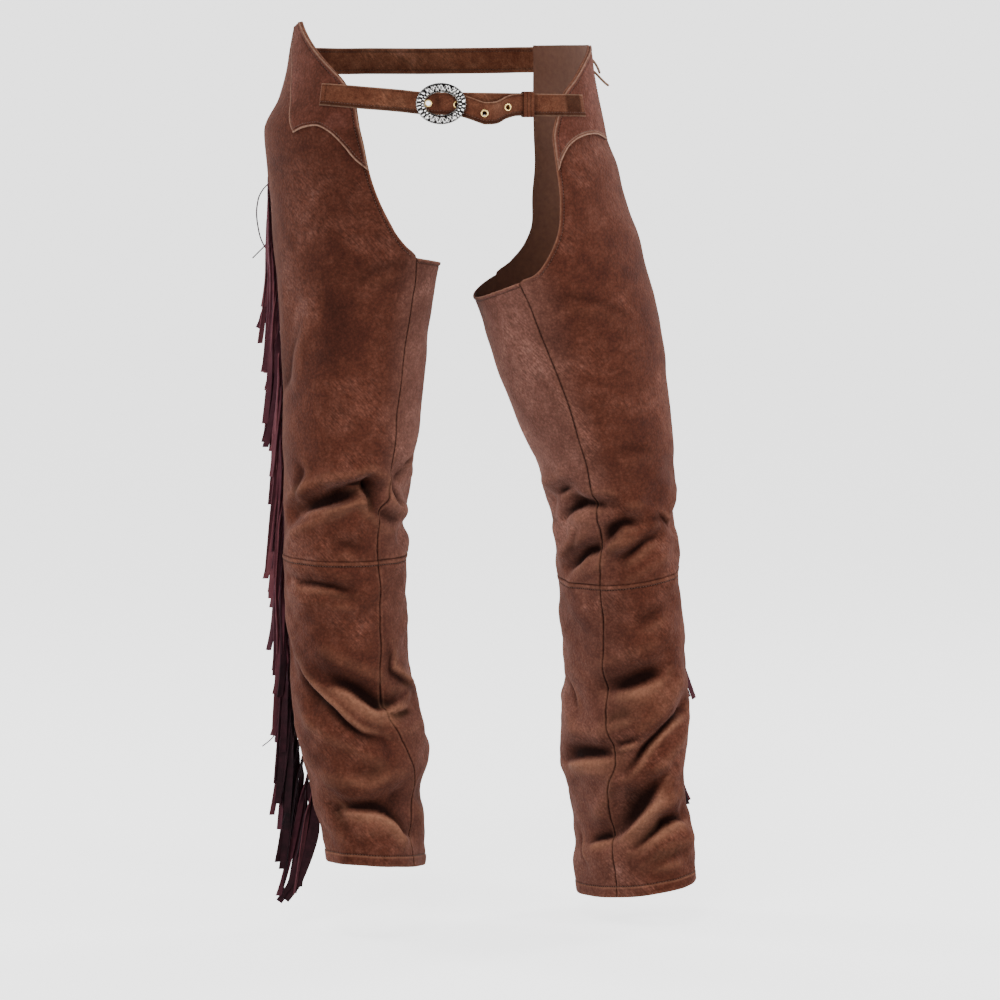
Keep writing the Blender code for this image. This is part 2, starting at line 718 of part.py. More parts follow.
def make_belt(belt_leather, brass):
    """Both belt straps, the keeper and the eyelets."""
    lift = LEG_WALL + YOKE_GAP + YOKE_WALL + LAP_GAP + STRAP_WALL / 2
    rows = on_leg_strap("R", STRAP_R_ON_YOKE, STRAP_HIGH, lift)
    rows += upright(belt_place(*row) for row in STRAP_R_FREE)
    path, length = path_curve(rows, STRAP_STEPS)
    strap_r = strap("belt_strap_R", path, STRAP_HIGH, STRAP_WALL, belt_leather)
    at_buckle = np.argmin(np.abs(path[:, 0] - BUCKLE_X)) / (len(path) - 1) * length
    for k, arc in enumerate(EYELET_ARCS):
        place = (at_buckle + arc) / length * (len(path) - 1)
        i = int(place)
        middle = between(path[i, :3], path[i + 1, :3], place - i)
        run = path[i + 1, :3] - path[i, :3]
        face = unit(np.cross(run, unit(path[i, 3:])))
        cut_hole(strap_r, middle, face, EYELET_BARREL + CLOSE_GAP, CUT_DEPTH)
        top = STRAP_WALL / 2 + EYELET_LIFT
        profile = (
            (EYELET_HOLE, -STRAP_WALL / 2),
            (EYELET_BARREL, -STRAP_WALL / 2),
            (EYELET_BARREL, top),
            (EYELET_FLANGE, top),
            (EYELET_CROWN, top + FLANGE_DEEP),
            (EYELET_HOLE, top + FLANGE_DEEP / 2),
        )
        make_ring(f"eyelet_{k + 1}", middle, face, profile, brass)

    lift = LEG_WALL + YOKE_GAP + YOKE_WALL + LAP_GAP + LOOP_WALL / 2
    rows = on_leg_strap("L", STRAP_L_ON_YOKE, STRAP_HIGH, lift)
    rows += upright(belt_place(*row) for row in STRAP_L_FREE)
    lead_in, _ = path_curve(rows, STRAP_STEPS - 12)
    bend = BAR_HALF_THICK * BAR_CORNER + CLOSE_GAP + LOOP_WALL / 2
    turn = np.linspace(0, np.pi, LOOP_STEPS)
    loop = upright(
        belt_place(BUCKLE_X - bend * np.sin(a), BAR_OUT - bend * np.cos(a), STRAP_L_FREE[-1][2]) for a in turn
    )
    back_run = upright(belt_place(*row) for row in STRAP_L_RETURN)
    strap("belt_strap_L", np.concatenate([lead_in, loop, back_run]), STRAP_HIGH, LOOP_WALL, belt_leather)

    half = STRAP_HIGH / 2 + CLOSE_GAP
    low_out = KEEPER_STRAPS[0] - LOOP_WALL / 2 - CLOSE_GAP
    high_out = KEEPER_STRAPS[1] + STRAP_WALL / 2 + CLOSE_GAP
    loops = []
    for grow in (KEEPER_WALL, 0.0):
        for x in KEEPER_X:
            loops.append(
                [
                    belt_place(x, out + push * grow, KEEPER_HEIGHT + side * (half + grow))
                    for out, push, side in ((low_out, -1, -1), (high_out, 1, -1), (high_out, 1, 1), (low_out, -1, 1))
                ]
            )
    points = [p for loop in loops for p in loop]
    faces = []
    for k in range(4):
        n = (k + 1) % 4
        faces += [(k, n, 4 + n, 4 + k), (8 + k, 12 + k, 12 + n, 8 + n)]
        faces += [(k, 8 + k, 8 + n, n), (4 + k, 4 + n, 12 + n, 12 + k)]
    new_object("belt_keeper", points, faces, belt_leather)


def make_buckle(silver, steps=36):
    """An oval ring with a low crowned front, and a bar set back behind the strap."""
    centre = np.array(belt_place(BUCKLE_X, 0, BUCKLE_HEIGHT))
    ahead = unit(np.array(belt_place(BUCKLE_X, 1, BUCKLE_HEIGHT)) - centre)
    right = np.cross([0.0, 0.0, 1.0], -ahead)
    up = np.array([0.0, 0.0, 1.0])
    profile = (
        (-RING_BAND, 0.0),
        (RING_BAND, 0.0),
        (RING_BAND, RING_EDGE),
        (RING_CROWN, RING_DEEP),
        (-RING_CROWN, RING_DEEP),
        (-RING_BAND, RING_EDGE),
    )
    points = []
    for k in range(steps):
        a = 2 * np.pi * k / steps
        mid = np.array([RING_MID_WIDE * np.cos(a), RING_MID_HIGH * np.sin(a)])
        away = unit(np.array([np.cos(a) / RING_MID_WIDE, np.sin(a) / RING_MID_HIGH]))
        for side, deep in profile:
            flat = mid + away * side
            points.append(centre + right * flat[0] + up * flat[1] + ahead * (RING_BACK + deep))
    size = len(profile)
    faces = []
    for k in range(steps):
        for j in range(size):
            here, after = k * size, (k + 1) % steps * size
            faces.append((here + j, here + (j + 1) % size, after + (j + 1) % size, after + j))
    ring = new_object("buckle", points, faces, silver)

    # The bar is a bent square rod: from the ring's back at the top, behind the strap, to the bottom.
    ends = RING_BACK + BAR_BITE
    bar_path = ((ends, BAR_HALF_HIGH), (BAR_OUT, BAR_HALF_HIGH), (BAR_OUT, -BAR_HALF_HIGH), (ends, -BAR_HALF_HIGH))
    radius = BAR_HALF_THICK
    corners = []
    for k, (out, high) in enumerate(bar_path):
        side = 1 if k < 2 else -1
        for across in (-1, 1):
            for edge in (-1, 1):
                if k in (0, 3):
                    deep, tall = out, high + edge * radius * side
                else:
                    deep, tall = out - edge * radius, high + edge * radius * side
                corners.append(centre + right * across * radius + up * tall + ahead * deep)
    faces = []
    for k in range(3):
        a, b = 4 * k, 4 * (k + 1)
        for i, j in ((0, 1), (1, 3), (3, 2), (2, 0)):
            faces.append((a + i, a + j, b + j, b + i))
    faces += [(0, 1, 3, 2), (12, 14, 15, 13)]
    bar = new_object("buckle_bar", corners, faces, silver)
    bar.hide_render = True
    bar.display_type = "WIRE"
    join = ring.modifiers.new("bar", "BOOLEAN")
    join.operation = "UNION"
    join.object = bar


def make_back_band(belt_leather):
    """The waistband across the back, sewn on the right leg and laced at the left side."""
    lift = LEG_WALL + LAP_GAP + STRAP_WALL / 2
    rows = on_leg_strap("R", BAND_ON_R, BAND_HIGH, lift)
    rows += upright(BAND_ACROSS)
    rows += on_leg_strap("L", BAND_ON_L, BAND_HIGH, lift)
    path, _ = path_curve(rows, BAND_STEPS)
    strap("back_band", path, BAND_HIGH, STRAP_WALL, belt_leather)


def make_tube(name, points, thickness, material, count=14):
    """A round cord through the points, capped at both ends."""
    path, _ = path_curve(points, count)
    data = bpy.data.curves.new(name, "CURVE")
    data.dimensions = "3D"
    data.bevel_depth = thickness / 2 * MM
    data.bevel_resolution = 2
    data.use_fill_caps = True
    line = data.splines.new("POLY")
    line.points.add(len(path) - 1)
    for spot, place in zip(line.points, path * MM):
        spot.co = (*place, 1.0)
    data.materials.append(material)
    item = bpy.data.objects.new(name, data)
    bpy.context.scene.collection.objects.link(item)
    return item


def make_lace(thong):
    """The tie through band and waist corner, its knot, and its two free ends."""
    tie = [
        leg_surface("L", np.array(float(angle)), np.array(float(level)), lift)
        for (angle, level), lift in zip(LACE_TIE, LACE_TIE_LIFT)
    ]
    make_tube("lace_tie", tie, LACE_THICK, thong, 11)
    angle, level, lift = LACE_KNOT
    knot = leg_surface("L", np.array(float(angle)), np.array(float(level)), lift)
    bpy.ops.mesh.primitive_uv_sphere_add(segments=10, ring_count=7, radius=1.0)
    ball = bpy.context.object
    ball.name = "lace_knot"
    ball.scale = Vector(KNOT_RADII) * MM
    ball.location = Vector(knot) * MM
    ball.data.materials.append(thong)
    for name, steps in (("lace_end_low", LACE_END_LOW), ("lace_end_short", LACE_END_SHORT)):
        aim = unit(np.array(steps[1], float))
        reach = 1 / np.linalg.norm(aim / np.array(KNOT_RADII))
        start = knot + aim * (reach + CLOSE_GAP)
        make_tube(name, start + np.array(steps, float), LACE_THICK, thong, 8)


def strand_lengths(leg, roots, lane):
    """Strand lengths that wander between the shortest and the longest, and stop at the lowest tip."""
    shortest, longest = STRAND_LENGTH
    k = np.arange(len(roots))
    wander = 0.5 + 0.28 * np.sin(2.4 * k + 1.9 * lane) + 0.22 * np.sin(5.3 * k + 3.7 * lane + SIDES[leg])
    lengths = shortest + (longest - shortest) * wander
    return np.minimum(lengths, roots - FRINGE_LEVELS[leg][2])


def hang_frame(leg, level):
    """Point on the outseam, the direction round the leg and the level direction outwards."""
    level = np.asarray(level, float)
    angle = line_angle(OUTSEAM_LINE[leg], level)
    spot = ring_point(leg, angle, level)
    away = outward(leg, angle, level)
    away[..., 2] = 0
    away = unit(away)
    round_leg = np.stack([-away[..., 1], away[..., 0], 0 * level], -1)
    return spot, round_leg, away


def hang_place(leg, root, drop):
    """Where a strand hangs, drop below its root: the point, and the directions round the leg and outwards.

    On the thigh it follows the leather, and on the shin it falls straight while the leg draws in.
    """
    level = root - drop
    falls = np.clip((CLING_LEVEL - root) / CLING_FADE, 0, 1)
    spot, round_leg, away = hang_frame(leg, between(level, root, falls))
    surface, _, _ = hang_frame(leg, level)
    spot = np.array([spot[0], spot[1], level])
    bulge = max(0.0, (surface - spot) @ away)
    return spot + away * bulge, round_leg, away


def make_fringe(leg, material):
    """A strip along the outseam with strands drawn out of its face, in three lanes of equal pitch."""
    first, last, _ = FRINGE_LEVELS[leg]
    roots = np.linspace(first, last, FRINGE_ROWS)
    middles = np.append((roots[1:] + roots[:-1]) / 2, last - STRIP_END)
    cuts = np.stack([roots + ROOT_HIGH / 2, roots - ROOT_HIGH / 2, middles], 1).reshape(-1)
    cuts = np.append(first + STRIP_END, cuts)
    inner_edges = [lane * LANE_ROOT + side * ROOT_HALF for lane in LANES for side in (-1, 1)]
    edges = np.array([inner_edges[0] - STRIP_EDGE, *inner_edges, inner_edges[-1] + STRIP_EDGE])
    rows, columns = len(cuts), len(edges)
    spot, round_leg, away = hang_frame(leg, cuts)
    base = LEG_WALL + STRIP_GAP
    outer = spot[:, None] + round_leg[:, None] * edges[None, :, None] + away[:, None] * (base + STRIP_WALL)
    under = spot[:, None] + round_leg[:, None] * edges[[0, -1]][None, :, None] + away[:, None] * base
    points = [*outer.reshape(-1, 3), *under.reshape(-1, 3)]
    number = np.arange(rows * columns).reshape(rows, columns)
    below = number.size + np.arange(rows * 2).reshape(rows, 2)
    faces = []
    root_cells = {(3 * r + 1, 2 * c + 1) for r in range(FRINGE_ROWS) for c in range(len(LANES))}
    for r in range(rows - 1):
        for c in range(columns - 1):
            if (r, c) not in root_cells:
                faces.append((number[r, c], number[r, c + 1], number[r + 1, c + 1], number[r + 1, c]))
        faces.append((below[r, 0], below[r + 1, 0], below[r + 1, 1], below[r, 1]))
        faces.append((number[r, 0], number[r + 1, 0], below[r + 1, 0], below[r, 0]))
        faces.append((number[r, -1], below[r, 1], below[r + 1, 1], number[r + 1, -1]))
    faces.append((*number[0], below[0, 1], below[0, 0]))
    faces.append((*number[-1][::-1], below[-1, 0], below[-1, 1]))
    for lane_number, lane in enumerate(LANES):
        lengths = strand_lengths(leg, roots, lane)
        for r, root in enumerate(roots):
            ring = [number[3 * r + 1, 2 * lane_number + 1], number[3 * r + 1, 2 * lane_number + 2]]
            ring += [number[3 * r + 2, 2 * lane_number + 2], number[3 * r + 2, 2 * lane_number + 1]]
            slope = HANG_SLOPE[leg] + FLARES[leg].get(r, 0.0)
            drops = (FAN_DROP, (FAN_DROP + lengths[r]) / 2, lengths[r])
            for drop in drops:
                spot, round_leg, away = hang_place(leg, root, drop)
                out = base + STRIP_WALL + slope * drop
                sway = SWAY * np.sin((root - drop) / SWAY_WAVE) * min(1.0, drop / SWAY_FADE)
                across = lane * LANE_HANG + sway
                start = len(points)
                for side, deep in ((-1, STRAND_WALL), (1, STRAND_WALL), (1, 0), (-1, 0)):
                    place = spot + round_leg * (across + side * HANG_HALF) + away * (out + deep)
                    points.append(place)
                following = list(range(start, start + 4))
                for j in range(4):
                    n = (j + 1) % 4
                    faces.append((ring[j], ring[n], following[n], following[j]))
                ring = following
            faces.append(tuple(ring))
    new_object(f"fringe_{leg}", points, [tuple(int(i) for i in f) for f in faces], material)


def main():
    for item in list(bpy.data.objects):
        bpy.data.objects.remove(item, do_unlink=True)
    suede = make_material("brown_suede", SUEDE_BROWN, 0.85)
    yoke_suede = make_material("yoke_suede", SUEDE_YOKE, 0.85)
    fringe_leather = make_material("fringe_leather", FRINGE_BROWN, 0.75)
    belt_leather = make_material("belt_leather", BELT_BROWN, 0.7)
    thong = make_material("thong_leather", THONG_TAN, 0.7)
    brass = make_material("eyelet_brass", BRASS_YELLOW, 0.35, 1.0)
    silver = make_material("cast_silver", SILVER_GREY, 0.3, 1.0)
    for leg in SIDES:
        make_leg(leg, suede)
        make_yoke(leg, yoke_suede)
        make_fringe(leg, fringe_leather)
    make_belt(belt_leather, brass)
    make_buckle(silver)
    make_back_band(belt_leather)
    make_lace(thong)


main()
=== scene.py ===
"""The looks of worn, empty leather chaps with fringed outseams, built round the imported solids.

The tables hold millimetres and degrees, and MM turns them to metres when a mesh is made. +Z is up, the front
faces -Y, and the wearer's left leg is at +X. A place on a leg is an angle round its ring (0 front, 90 outside,
180 back, 270 inside) and a level, its height.
"""

import bpy
import numpy as np
from mathutils import Matrix, Vector


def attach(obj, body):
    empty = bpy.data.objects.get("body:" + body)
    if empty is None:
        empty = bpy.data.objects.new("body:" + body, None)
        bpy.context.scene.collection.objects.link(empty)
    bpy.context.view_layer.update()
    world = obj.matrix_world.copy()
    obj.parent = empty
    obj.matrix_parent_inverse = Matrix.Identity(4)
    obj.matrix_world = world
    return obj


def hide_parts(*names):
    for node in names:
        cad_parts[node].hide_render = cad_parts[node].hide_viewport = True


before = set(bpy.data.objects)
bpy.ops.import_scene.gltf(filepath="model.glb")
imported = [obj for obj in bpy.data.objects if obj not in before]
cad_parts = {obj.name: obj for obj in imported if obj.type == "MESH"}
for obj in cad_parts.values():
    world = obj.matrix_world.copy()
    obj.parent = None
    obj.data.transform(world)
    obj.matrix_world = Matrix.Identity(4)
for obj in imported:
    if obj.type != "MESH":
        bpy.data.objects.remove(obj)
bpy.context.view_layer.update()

MM = 0.001

# Leather thicknesses and the gaps between pieces, in millimetres.
LEG_WALL = 2.0
YOKE_WALL = 1.6
STRAP_WALL = 2.0
LOOP_WALL = 1.8
STRIP_WALL = 1.2
STRAND_WALL = 1.3
LAP_GAP = 0.5
YOKE_GAP = 1.0
CLOSE_GAP = 0.3
SEAM_HALF_GAP = 0.2    # degrees on each side of a seam, 0.3 mm or more over the whole seam

SIDES = {"R": -1, "L": 1}

# Rings: level, centre x, centre y, half width, half depth, turn about the vertical.
RINGS = {
    "R": (
        (95, -80, 0, 82, 106, 0),
        (40, -85, 1, 87, 112, 0),
        (0, -85, 3, 97, 117, 0),
        (-38, -85, 7, 114, 122, 0),
        (-70, -85, 9, 111, 124, 0),
        (-110, -86, 10, 106, 123, 0),
        (-170, -95, 6, 94, 115, 0),
        (-207, -99, 2, 87, 109, -1),
        (-264, -103, -1, 81, 102, -2),
        (-322, -105, -4, 77, 96, -3),
        (-380, -109, -7, 75, 90, -4),
        (-437, -114, -9, 69, 84, -6),
        (-495, -116, -9, 68, 80, -8),
        (-553, -115, -4, 68, 80, -9),
        (-611, -111, 3, 66, 82, -10),
        (-670, -105, 8, 68, 84, -12),
        (-700, -99, 9, 72, 85, -13),
        (-728, -93, 10, 73, 86, -13),
        (-758, -90, 10, 70, 85, -14),
        (-787, -88, 9, 64, 85, -15),
        (-817, -85, 8, 60, 83, -15),
        (-846, -81, 6, 57, 82, -15),
        (-900, -79, 3, 53, 80, -15),
    ),
    "L": (
        (70, 80, 0, 84, 108, 0),
        (40, 84, 1, 85, 112, 0),
        (0, 85, 3, 91, 117, 0),
        (-48, 88, 8, 103, 123, 0),
        (-82, 92, 10, 113, 125, 0),
        (-116, 100, 10, 114, 123, 1),
        (-150, 114, 8, 113, 119, 1),
        (-184, 128, 5, 108, 113, 2),
        (-236, 148, 0, 101, 106, 2),
        (-264, 156, -1, 100, 102, 3),
        (-322, 168, -4, 94, 96, 6),
        (-380, 183, -7, 85, 90, 8),
        (-437, 196, -9, 73, 84, 11),
        (-495, 204, -9, 66, 80, 14),
        (-553, 211, -4, 64, 80, 16),
        (-611, 217, 3, 63, 82, 19),
        (-670, 223, 8, 60, 84, 22),
        (-728, 224, 10, 61, 86, 25),
        (-758, 221, 10, 59, 85, 26),
        (-787, 221, 9, 53, 85, 27),
        (-817, 225, 8, 47, 83, 28),
        (-846, 232, 6, 49, 82, 28),
        (-876, 235, 5, 55, 81, 28),
        (-945, 235, 3, 56, 80, 28),
    ),
}

# Front line: level, angle. The front seam up to the crotch, then the curved front opening edge.
FRONT_LINE = {
    "R": (
        (-900, -54),
        (-851, -53),
        (-787, -56),
        (-741, -42),
        (-702, -31),
        (-660, -27),
        (-610, -30),
        (-540, -29),
        (-500, -26),
        (-466, -26),
        (-444, -34),
        (-390, -31),
        (-342, -29),
        (-280, -31),
        (-220, -32),
        (-177, -27),
        (-162, -15),
        (-145, -5),
        (-112, 7),
        (-79, 13),
        (-46, 16),
        (-12, 21),
        (16, 31),
        (35, 44),
        (54, 58),
        (84, 81),
    ),
    "L": (
        (-945, -71),
        (-879, -75),
        (-845, -81),
        (-800, -74),
        (-760, -61),
        (-713, -67),
        (-672, -68),
        (-597, -59),
        (-551, -56),
        (-500, -50),
        (-440, -46),
        (-387, -41),
        (-336, -38),
        (-278, -40),
        (-207, -42),
        (-198, -30),
        (-183, -20),
        (-147, -4),
        (-114, 3),
        (-80, 6),
        (-47, 6),
        (-22, 10),
        (3, 17),
        (19, 28),
        (42, 46),
        (59, 69),
    ),
}

# Back line: level, angle. The back inside seam up to the crotch, then the curved seat opening edge.
BACK_LINE = {
    "R": (
        (-900, 224),
        (-700, 220),
        (-517, 217),
        (-300, 214),
        (-215, 211),
        (-177, 205),
        (-164, 190),
        (-148, 176),
        (-122, 164),
        (-85, 155),
        (-40, 149),
        (0, 146),
        (62, 143),
    ),
    "L": (
        (-945, 208),
        (-700, 209),
        (-551, 212),
        (-340, 213),
        (-245, 210),
        (-207, 204),
        (-192, 188),
        (-172, 174),
        (-142, 163),
        (-100, 155),
        (-45, 149),
        (0, 146),
        (62, 143),
    ),
}

# Outseam: level, angle. It drifts forward down the leg, because the rings turn with the foot.
OUTSEAM_LINE = {
    "R": ((-900, 100), (-704, 104), (-500, 110), (-260, 115), (95, 118)),
    "L": ((-945, 80), (-700, 84), (-500, 98), (-260, 113), (70, 118)),
}

# Cross planes of a leg: level, rise, and the angle that the rise points to.
PLANES = {
    "R": {"hem": (-880, 13, 15), "knee": (-516, 0, 0), "crotch": (-177, 0, 0)},
    "L": {"hem": (-924, 12, 40), "knee": (-549, 9, 90), "crotch": (-207, 0, 0)},
}
INSIDE_DIP = {"R": 9.0, "L": 20.0}    # how far the inside-leg panel's top edge sags between its seams

# Top edge levels at the front corner, at the outseam and at the back corner.
TOPS = {"R": (84, 70, 60), "L": (59, 60, 60)}

# Folds: first angle and level, second angle and level, half width, depth inwards.
FOLDS = {
    "R": (
        (66, -466, 20, -441, 11, 8.0),
        (20, -441, -10, -430, 9, 9.0),
        (-10, -430, -28, -440, 9, 8.0),
        (-22, -448, -30, -462, 8, 6.0),
        (70, -541, 2, -550, 9, 4.0),
        (32, -648, -20, -678, 15, 7.0),
        (88, -634, 40, -680, 14, 4.5),
        (40, -682, -22, -722, 14, 6.5),
        (-34, -694, -70, -690, 12, 6.0),
        (30, -800, -36, -794, 15, 7.0),
        (-36, -794, -54, -836, 13, 5.0),
        (70, -776, 18, -822, 16, 3.5),
        (66, -230, 80, -312, 12, 3.0),
        (-44, -420, -76, -452, 12, 5.0),
        (-64, -486, -104, -474, 13, 5.0),
        (-110, -560, -140, -590, 15, 4.0),
        (132, -498, 176, -488, 13, 6.5),
        (178, -522, 214, -506, 12, 6.0),
        (136, -566, 190, -584, 15, 5.0),
        (140, -300, 166, -380, 20, 4.0),
        (150, -690, 206, -664, 16, 5.5),
        (140, -760, 196, -742, 16, 6.0),
        (150, -830, 214, -812, 16, 5.0),
        (232, -700, 272, -726, 16, 5.0),
        (246, -806, 286, -790, 15, 5.0),
        (250, -250, 262, -330, 18, 3.5),
    ),
    "L": (
        (-98, -462, -66, -448, 11, 6.5),
        (-86, -480, -66, -464, 9, 6.0),
        (-66, -463, -30, -464, 9, 7.0),
        (-44, -486, -8, -483, 11, 6.5),
        (-40, -496, -62, -518, 9, 5.5),
        (-62, -518, -96, -543, 9, 5.0),
        (6, -505, -32, -526, 11, 5.5),
        (62, -468, 40, -490, 11, 5.5),
        (-66, -680, -10, -654, 15, 5.5),
        (-60, -746, -44, -735, 12, 4.5),
        (-57, -785, -30, -752, 13, 6.5),
        (-30, -752, 22, -700, 14, 7.0),
        (-108, -758, -64, -759, 12, 6.0),
        (-78, -850, -52, -811, 13, 6.5),
        (-52, -811, -20, -788, 14, 7.0),
        (-54, -864, -28, -842, 13, 5.5),
        (-28, -842, 14, -832, 14, 6.5),
        (-118, -866, -84, -860, 12, 3.5),
        (132, -500, 172, -512, 13, 6.5),
        (168, -538, 206, -520, 12, 6.0),
        (138, -590, 186, -604, 15, 5.0),
        (146, -330, 170, -400, 20, 4.0),
        (142, -700, 198, -680, 16, 5.5),
        (150, -776, 202, -760, 16, 6.0),
        (140, -850, 196, -832, 16, 5.0),
        (226, -680, 262, -700, 15, 4.5),
        (70, -600, 100, -640, 14, 3.5),
    ),
}
FOLD_ARC = 80.0        # a mean ring radius, which turns an angle into a distance round the leg
SEAM_CLEAR = 16.0      # degrees beside the outseam over which a fold dies out
HEM_CLEAR = 14.0       # millimetres above the hem over which a fold dies out

# Yoke: lower edge as angle and level, then outer edge as level and angle.
YOKE_LOWER = {
    "R": ((12, -81), (20, -68), (26, -53), (34, -38), (42, -32), (50, -34), (57, -39)),
    "L": ((8, -82), (12, -67), (17, -55), (24, -47), (32, -43), (40, -42), (57, -49)),
}
YOKE_OUTER = {
    "R": ((-39, 57), (5, 74), (45, 84), (78, 91)),
    "L": ((-49, 57), (0, 71), (35, 78), (57, 82)),
}

# Belt strap R: x, outward distance from the belt line, height. It runs over the bar to the tail.
STRAP_HIGH = 24.6
STRAP_STEPS = 38
BUCKLE_X = -34.5
STRAP_R_FREE = (
    (-96, 3.2, -1.9),
    (-74, 3.8, -4.0),
    (-56, 6.2, -6.0),
    (-45, 8.6, -6.5),
    (-34.5, 9.4, -6.8),
    (-24, 8.8, -7.2),
    (-12, 7.4, -8.6),
    (2, 9.6, -13.0),
    (16, 13.5, -17.5),
    (28, 11.0, -16.5),
    (40, 5.8, -11.5),
    (54, 4.0, -8.2),
    (73, 3.9, -7.6),
)
STRAP_R_ON_YOKE = ((48, 2.0), (43, 1.9), (38, 1.6), (32, 1.0), (27, 0.4), (22, -0.2), (17, -0.9))     # angle, height

# Belt strap L: the same columns, from the yoke round the buckle's bar and back on itself.
STRAP_L_ON_YOKE = ((37, -10.0), (32, -9.8), (27, -9.5), (21, -9.2), (15, -9.0), (9, -8.8))
STRAP_L_FREE = (
    (86, 3.0, -8.4),
    (72, 1.6, -7.8),
    (40, 1.4, -7.4),
    (4, 1.4, -7.0),
    (-16, 1.4, -6.8),
    (-30, 1.4, -6.8),
)
BAR_OUT = 4.2
BAR_HALF_THICK = 1.2
STRAP_L_RETURN = ((-26, 6.1, -6.8), (-16, 4.3, -6.8), (-6, 3.7, -6.9))

# Belt line: x and y of the inner face of the belt where no leg panel lies under it.
BELT_LINE = ((-112, -110), (-74, -121), (-34, -126), (4, -126), (44, -123), (72, -119.5), (94, -115), (106, -111))

# Buckle, in its own plane.
RING_MID_WIDE = 23.4
RING_MID_HIGH = 17.6
RING_BAND = 5.0        # half width of the band
RING_BACK = 10.7       # outward distance of the ring's flat back from the belt line
RING_DEEP = 4.4
RING_EDGE = 2.0        # depth of the ring at its two rims, where its crown starts
BUCKLE_HEIGHT = -6.8
BAR_HALF_HIGH = 15.6
BAR_BITE = 1.5         # how far the bar's ends run into the ring
BAR_CORNER = 1.42      # a square rod's corner, in half widths
EYELET_ARCS = (-13.5, 18.8, 51.1, 83.4)
EYELET_HOLE = 2.6
EYELET_FLANGE = 4.4
EYELET_BARREL = 3.3
CUT_DEPTH = 12

# Belt keeper round strap and tail.
KEEPER_X = (61.0, 74.0)
KEEPER_WALL = 1.2
KEEPER_HEIGHT = -7.7
KEEPER_STRAPS = (1.4, 4.0)    # how far strap L and the tail over it lie from the belt line there

# Fringe: level of the first and last root for each leg, and the lowest tip.
FRINGE_LEVELS = {"R": (-90, -800, -926), "L": (-104, -842, -940)}
LANES = (-1, 0, 1)
LANE_ROOT = 3.6
LANE_HANG = 8.6
ROOT_HALF = 1.3
HANG_HALF = 3.4
STRIP_EDGE = 0.7
STRIP_END = 8.0        # how far the strip runs on past its first and last root
STRIP_GAP = 0.8
FAN_DROP = 30.0
HANG_SLOPE = {"R": 0.098, "L": 0.06}
CLING_LEVEL = -480.0   # above this level a strand follows the leather
CLING_FADE = 160.0

# Back band: angle and height on each leg, and x, y, height across the back.
BAND_HIGH = 30.0
BAND_STEPS = 30
BAND_ON_R = ((126, 41.0), (132, 41.0), (138, 41.0), (144, 41.2), (150, 41.3))
BAND_ACROSS = ((-92, 111, 41.5), (-50, 119, 42.0), (0, 122, 42.0), (50, 119, 42.5), (92, 111, 43.0))
BAND_ON_L = ((150, 43.0), (144, 43.0), (136, 43.5), (128, 44.0), (120, 44.0), (112, 44.0), (104, 44.0))

# Lace at the wearer's left side.
LACE_THICK = 2.8
LACE_TIE = ((111, 51), (107, 52), (102, 52), (97, 50), (95, 46), (98, 42), (102, 41))    # angle, level
LACE_TIE_LIFT = (6.5, 6.6, 6.6, 4.8, 4.2, 5.4, 7.0)
LACE_KNOT = (103, 36, 7.8)
KNOT_RADII = (3.6, 3.2, 3.0)
LACE_END_LOW = ((0, 0, 0), (6, -2, -3), (12, -3, -8), (18, -3, -14), (24, -1, -19), (29, 2, -22))
LACE_END_SHORT = ((0, 0, 0), (4, 3, 5), (9, 7, 6), (15, 10, 2), (20, 11, -5), (23, 11, -12))


